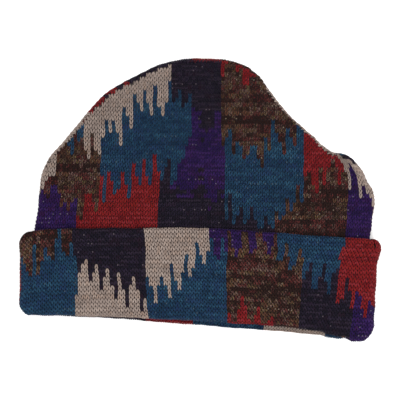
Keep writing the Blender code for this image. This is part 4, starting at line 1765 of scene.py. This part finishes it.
def heather_ramp(tree, shade, ply):
    """Space-dyed yarn: one ply takes the dyes that follow one another along it, one stays dark."""
    dye = attribute_node(tree, "dye").outputs["Fac"]
    drift = math_node(tree, "MULTIPLY", noise_node(tree, *DYE_NOISE), DYE_DRIFT)
    drift = math_node(tree, "ADD", drift, 0.5 - 0.5 * DYE_DRIFT)
    mixed = math_node(tree, "ADD", math_node(tree, "MULTIPLY", dye, DYE_REACH), drift)
    place = math_node(tree, "ADD", mixed, math_node(tree, "MULTIPLY", shade, DYE_BY_SHADE), True)
    ramp = tree.nodes.new("ShaderNodeValToRGB")
    tree.links.new(math_node(tree, "SUBTRACT", place, DYE_START, True), ramp.inputs[0])
    stops = ramp.color_ramp.elements
    while len(stops) < len(HEATHER):
        stops.new(0.5)
    for stop, (at, colour) in zip(stops, HEATHER):
        stop.position = at
        stop.color = (*colour, 1.0)
    dyed = math_node(tree, "MULTIPLY", ply, DYED_PLY, True)
    two_ply = mix_node(tree, dyed, HEATHER_CORE, ramp.outputs["Color"])
    raised = math_node(tree, "SUBTRACT", shade, HEATHER_FROM)
    full = math_node(tree, "MULTIPLY", raised, HEATHER_GAIN, True)
    return mix_node(tree, full, HEATHER_DEEP, two_ply)


def yarn_material(name):
    mean, deep, pale = YARN_COLOURS[name]
    own, fibre, ply, flecks, fleck_colour = YARN_FINISH[name]
    tone, tone_share, dashes, dash_colour = YARN_TONES[name]
    material = bpy.data.materials.new(name + "_yarn")
    shader = knit_shader(material)
    tree = material.node_tree
    links = tree.links
    twist = group_node(tree, TWIST, Turns=STRAND_TURNS, Fibres=FIBRES)
    shade = group_node(tree, SHADE, Own_Shade=own, Fibre_Shade=fibre, Ply_Shade=ply)
    links.new(twist.outputs["Ply"], shade.inputs["Ply"])
    if name == "brown":
        colour = heather_ramp(tree, shade.outputs["Shade"], twist.outputs["Ply"])
    else:
        blend = group_node(tree, BLEND, Deep=(*deep, 1.0), Mean=(*mean, 1.0), Pale=(*pale, 1.0))
        links.new(shade.outputs["Shade"], blend.inputs["Shade"])
        colour = blend.outputs["Color"]
        dye = attribute_node(tree, "dye").outputs["Fac"]
        toned = math_node(tree, "MULTIPLY", dye, tone_share, True)
        colour = mix_node(tree, toned, colour, tone)
    mask = group_node(tree, FLECKS, Flecks=flecks, Dashes=dashes)
    colour = mix_node(tree, mask.outputs["Dash"], colour, dash_colour)
    colour = mix_node(tree, mask.outputs["Fleck"], colour, fleck_colour)
    links.new(colour, shader.inputs["Base Color"])
    bump = tree.nodes.new("ShaderNodeBump")
    bump.inputs["Distance"].default_value = BUMP_REACH
    links.new(twist.outputs["Height"], bump.inputs["Height"])
    links.new(bump.outputs["Normal"], shader.inputs["Normal"])
    return material


def ground_ribs(tree):
    """Rows and columns of the stitches' backs, from the wall's own knit coordinates."""
    knit = attribute_node(tree, "knit")
    split = tree.nodes.new("ShaderNodeSeparateXYZ")
    tree.links.new(knit.outputs["Vector"], split.inputs[0])
    wale = math_node(tree, "SINE", math_node(tree, "MULTIPLY", split.outputs[0], 2 * math.pi))
    course = math_node(tree, "SINE", math_node(tree, "MULTIPLY", split.outputs[1], 2 * math.pi))
    return math_node(tree, "ADD", math_node(tree, "MULTIPLY", wale, course), course)


def wall_material():
    """The knit's ground behind the stitches, its colours darkened as painted shade, with a near-black
    mottle mixed in that is partly the other side's yarns and partly painted shade.
    """
    material = bpy.data.materials.new("knit_ground")
    shader = knit_shader(material)
    tree = material.node_tree
    ground = attribute_node(tree, "ground")
    # Painted shade: a near-black mottle darkens the ground, partly standing for the other side's
    # yarns
    mottle = math_node(tree, "SUBTRACT", noise_node(tree, *MOTTLE_NOISE), MOTTLE_FROM, True)
    share = math_node(tree, "MULTIPLY", mottle, MOTTLE_GAIN, True)
    colour = mix_node(tree, share, ground.outputs["Color"], BACKING_AND_SHADE_MOTTLE)
    tree.links.new(colour, shader.inputs["Base Color"])
    bump = tree.nodes.new("ShaderNodeBump")
    bump.inputs["Distance"].default_value = GROUND_BUMP
    tree.links.new(ground_ribs(tree), bump.inputs["Height"])
    tree.links.new(bump.outputs["Normal"], shader.inputs["Normal"])
    return material


def crown_flat(wale, course):
    return FIRST_WALE_X + wale * WALE, FIRST_COURSE_Y - course * COURSE


def cuff_flat(wale, course):
    return FIRST_WALE_X - CuffCloth.MIDDLE + wale * WALE, course * COURSE


YARN_MATERIALS = [yarn_material(name) for name in YARNS]
STITCH_TREE = stitch_tree(YARN_MATERIALS)
GROUND = wall_material()

crown_front_cloth = CrownCloth(True)
crown_back_cloth = CrownCloth(False)
cuff_front_cloth = CuffCloth(True)
cuff_back_cloth = CuffCloth(False)

walls = {
    "crown_front": crown_wall("crown_front_wall", True, GROUND),
    "crown_back": crown_wall("crown_back_wall", False, GROUND),
    "cuff_front": cuff_wall("cuff_front_wall", cuff_front_cloth, GROUND),
    "cuff_back": cuff_wall("cuff_back_wall", cuff_back_cloth, GROUND),
}
for node, wall in walls.items():
    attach(wall, "root")
    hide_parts(node)

KNITTED = (
    # node, cloth, courses, chart, flat place of a stitch, V points down, fullness, seed, slot
    ("crown_front", crown_front_cloth, CROWN_COURSES, CROWN_BLOCKS,
     crown_flat, True, CROWN_FULLNESS, 11, "crown_knit"),
    ("crown_back", crown_back_cloth, CROWN_COURSES, CROWN_BACK_BLOCKS,
     crown_flat, True, CROWN_FULLNESS, 12, "crown_knit"),
    ("cuff_front", cuff_front_cloth, CUFF_COURSES, CUFF_BLOCKS,
     cuff_flat, False, CUFF_FULLNESS, 13, "cuff_knit"),
    ("cuff_back", cuff_back_cloth, CUFF_COURSES, CUFF_BACK_BLOCKS,
     cuff_flat, False, CUFF_FULLNESS, 14, "cuff_knit"),
)
for node, *knit in KNITTED:
    knit_stitches(node + "_stitches", node, *knit)


# Sewn seams: a slanted thread over each pair of stitches that it joins
SEAM_STEP = 2.7
SEAM_REACH = 1.5
SEAM_SLANT = 0.75
SEAM_SIDES = 5
SEAM_SLANT_VARIES = (0.8, 1.2)
SEAM_DYE = 0.6
SEAM_TUCK = 5.0
CROWN_SEAM_DEPTH = 0.5
CUFF_SEAM_DEPTH = 0.25
SEAM_STATIONS = (
    # share of the reach across the seam, height above the cloth, radius
    (-1.0, -0.95, 0.0),
    (-0.62, -0.10, 0.42),
    (0.0, 0.16, 0.50),
    (0.62, -0.10, 0.42),
    (1.0, -0.95, 0.0),
)

# Reach to each side over which a seam's run and the way across it are read: in points of the
# outline and in radians on the crown, in millimetres and in radians on the cuff
CROWN_RUN_REACH = 0.4
CROWN_TURN_REACH = 0.05
CUFF_RUN_REACH = 0.5
CUFF_OUT_REACH = 0.5

# The left seam's red thread shows between these shares of the cuff's height
RED_FROM = 0.26
RED_TO = 0.62


def yarns_near(name, points):
    """Yarn of the stitch nearest to each point, among one piece's stitches."""
    places, yarns = LAID_YARNS[name]
    away = np.linalg.norm(points[:, None] - places[None], axis=2)
    return yarns[away.argmin(axis=1)]


def seam_thread(name, middles, runs, ups, depth, yarns, seed):
    """The seam's threads in one mesh: each crosses the seam at a slant, its ends in the cloth."""
    runs = runs / np.linalg.norm(runs, axis=1)[:, None]
    ups = ups / np.linalg.norm(ups, axis=1)[:, None]
    across = np.cross(ups, runs)
    across /= np.linalg.norm(across, axis=1)[:, None]
    mesh = bmesh.new()
    strand = mesh.verts.layers.float_vector.new("strand")
    tint = mesh.verts.layers.float.new("tint")
    fleck = mesh.verts.layers.float.new("fleck")
    dye = mesh.verts.layers.float.new("dye")
    dash = mesh.verts.layers.float.new("dash")
    rng = np.random.default_rng(seed)
    for middle, run, up, way, yarn in zip(middles, runs, ups, across, yarns):
        own = rng.uniform(-1.0, 1.0)
        lean = way + run * SEAM_SLANT * rng.uniform(*SEAM_SLANT_VARIES)
        side = np.cross(lean, up)
        side /= np.linalg.norm(side)
        rings = []
        for k, (share, height, radius) in enumerate(SEAM_STATIONS):
            centre = middle + lean * share * SEAM_REACH + up * (height - depth)
            ring = []
            for n in range(SEAM_SIDES if radius else 1):
                turn = 2.0 * math.pi * n / SEAM_SIDES
                c, s = math.cos(turn), math.sin(turn)
                point = slack(centre + radius * (side * c + up * s))
                vert = mesh.verts.new(Vector(point + PLAN_SHIFT) * MM)
                vert[strand] = (c, s, k / (len(SEAM_STATIONS) - 1))
                vert[tint] = own
                vert[dye] = SEAM_DYE * own
                vert[fleck] = 1.0
                vert[dash] = 1.0
                ring.append(vert)
            rings.append(ring)
        for low, high in zip(rings[:-1], rings[1:]):
            for face in join_rings(mesh, low, high):
                face.material_index = int(yarn)
    bmesh.ops.recalc_face_normals(mesh, faces=mesh.faces)
    seam = wall_object(name, mesh, YARN_MATERIALS)
    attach(seam, "root")
    return seam


def crown_seam():
    """The thread round the crown's edge, as far as it shows above the cuff."""
    side = CrownSide(True)
    lengths = np.linalg.norm(np.diff(side.chain[:, :2], axis=0), axis=1)
    along = np.concatenate([[0.0], np.cumsum(lengths)])
    index = np.arange(len(along), dtype=float)
    place = np.interp(np.arange(SEAM_STEP, along[-1] - SEAM_STEP, SEAM_STEP), along, index)
    turn = side.at(place, side.roll)
    middle = side.point(place, turn)
    shown = middle[:, 1] > cuff_edge(middle[:, 0], TOP) - SEAM_TUCK
    ahead = np.minimum(place + CROWN_RUN_REACH, index[-1])
    behind = np.maximum(place - CROWN_RUN_REACH, 0.0)
    run = side.point(ahead, turn) - side.point(behind, turn)
    up = side.point(place, turn + CROWN_TURN_REACH) - side.point(place, turn - CROWN_TURN_REACH)
    out = np.cross(run, up)
    out *= np.sign((out[:, :2] * -side.at(place, side.inward)).sum(axis=1))[:, None]
    yarns = yarns_near("crown_back_stitches", middle[shown])
    return seam_thread("crown_seam", middle[shown], run[shown], out[shown], CROWN_SEAM_DEPTH,
                       yarns, 21)


def cuff_seam(name, side, seed):
    """The thread down one end of the cuff, between its rounded corners."""
    cloth = cuff_front_cloth
    edge_x = CUFF_LEFT if side < 0 else CUFF_RIGHT
    bottom = float(cuff_edge(edge_x, BOTTOM))
    top = float(cuff_edge(edge_x, TOP))
    if side < 0:
        high = top - TOP_LEFT_CORNER - SEAM_STEP
    else:
        high = bottom + NOTCH_FROM * (top - bottom)
    y = np.arange(bottom + BOTTOM_RIGHT_CORNER, high, SEAM_STEP)

    def at(y, depth):
        turn = cloth.seam_turn(np.full(len(y), float(side)), y)
        along = side * (cloth.HALF_RUN + cloth.quarter * (1.0 - turn / (0.5 * math.pi)))
        return cloth.stand(along, y, np.full(len(y), depth))

    run = at(y + CUFF_RUN_REACH, 0.0) - at(y - CUFF_RUN_REACH, 0.0)
    up = at(y, CUFF_OUT_REACH) - at(y, -CUFF_OUT_REACH)
    middle = at(y, 0.0)
    yarns = yarns_near("cuff_front_stitches", middle)
    if side < 0:
        share = (y - bottom) / (top - bottom)
        yarns = np.where((share > RED_FROM) & (share < RED_TO), YARNS.index("red"), yarns)
    return seam_thread(name, middle, run, up, CUFF_SEAM_DEPTH, yarns, seed)


seams = {
    "crown": crown_seam(),
    "left": cuff_seam("cuff_seam_left", -1, 22),
    "right": cuff_seam("cuff_seam_right", 1, 23),
}

FLOOR_SIZE = 3.0
FLOOR_COLOUR = (0.97, 0.97, 0.97)
FLOOR_ROUGH = 0.8
FLOOR_GLOW = 0.22
WORLD_LIGHT = 0.62
AREA_LIGHTS = (
    # name, place in metres, size, power
    ("key_light", (-0.32, 0.45, 1.25), 0.8, 11.5),
    ("fill_light", (0.7, -0.6, 1.0), 1.2, 14.5),
)


def add_floor():
    data = bpy.data.meshes.new("floor")
    h = 0.5 * FLOOR_SIZE
    data.from_pydata([(-h, -h, 0), (h, -h, 0), (h, h, 0), (-h, h, 0)], [], [(0, 1, 2, 3)])
    material = bpy.data.materials.new("pale_floor")
    material.use_nodes = True
    shader = material.node_tree.nodes["Principled BSDF"]
    shader.inputs["Base Color"].default_value = (*FLOOR_COLOUR, 1.0)
    shader.inputs["Roughness"].default_value = FLOOR_ROUGH
    shader.inputs["Emission Color"].default_value = (1.0, 1.0, 1.0, 1.0)
    shader.inputs["Emission Strength"].default_value = FLOOR_GLOW
    data.materials.append(material)
    floor = new_object("floor", data)


def add_area_light(name, place, size, power):
    """A square light at a place, turned to the beanie."""
    data = bpy.data.lights.new(name, "AREA")
    data.shape = "SQUARE"
    data.size = size
    data.energy = power
    light = new_object(name, data)
    light.location = place
    light.rotation_mode = "QUATERNION"
    light.rotation_quaternion = (-Vector(place)).to_track_quat("-Z", "Y")


def add_light():
    for name, place, size, power in AREA_LIGHTS:
        add_area_light(name, place, size, power)
    world = bpy.data.worlds.new("studio")
    world.use_nodes = True
    background = world.node_tree.nodes["Background"]
    background.inputs["Color"].default_value = (1.0, 1.0, 1.0, 1.0)
    background.inputs["Strength"].default_value = WORLD_LIGHT
    bpy.context.scene.world = world
    bpy.context.scene.view_settings.view_transform = "Standard"


add_floor()
add_light()
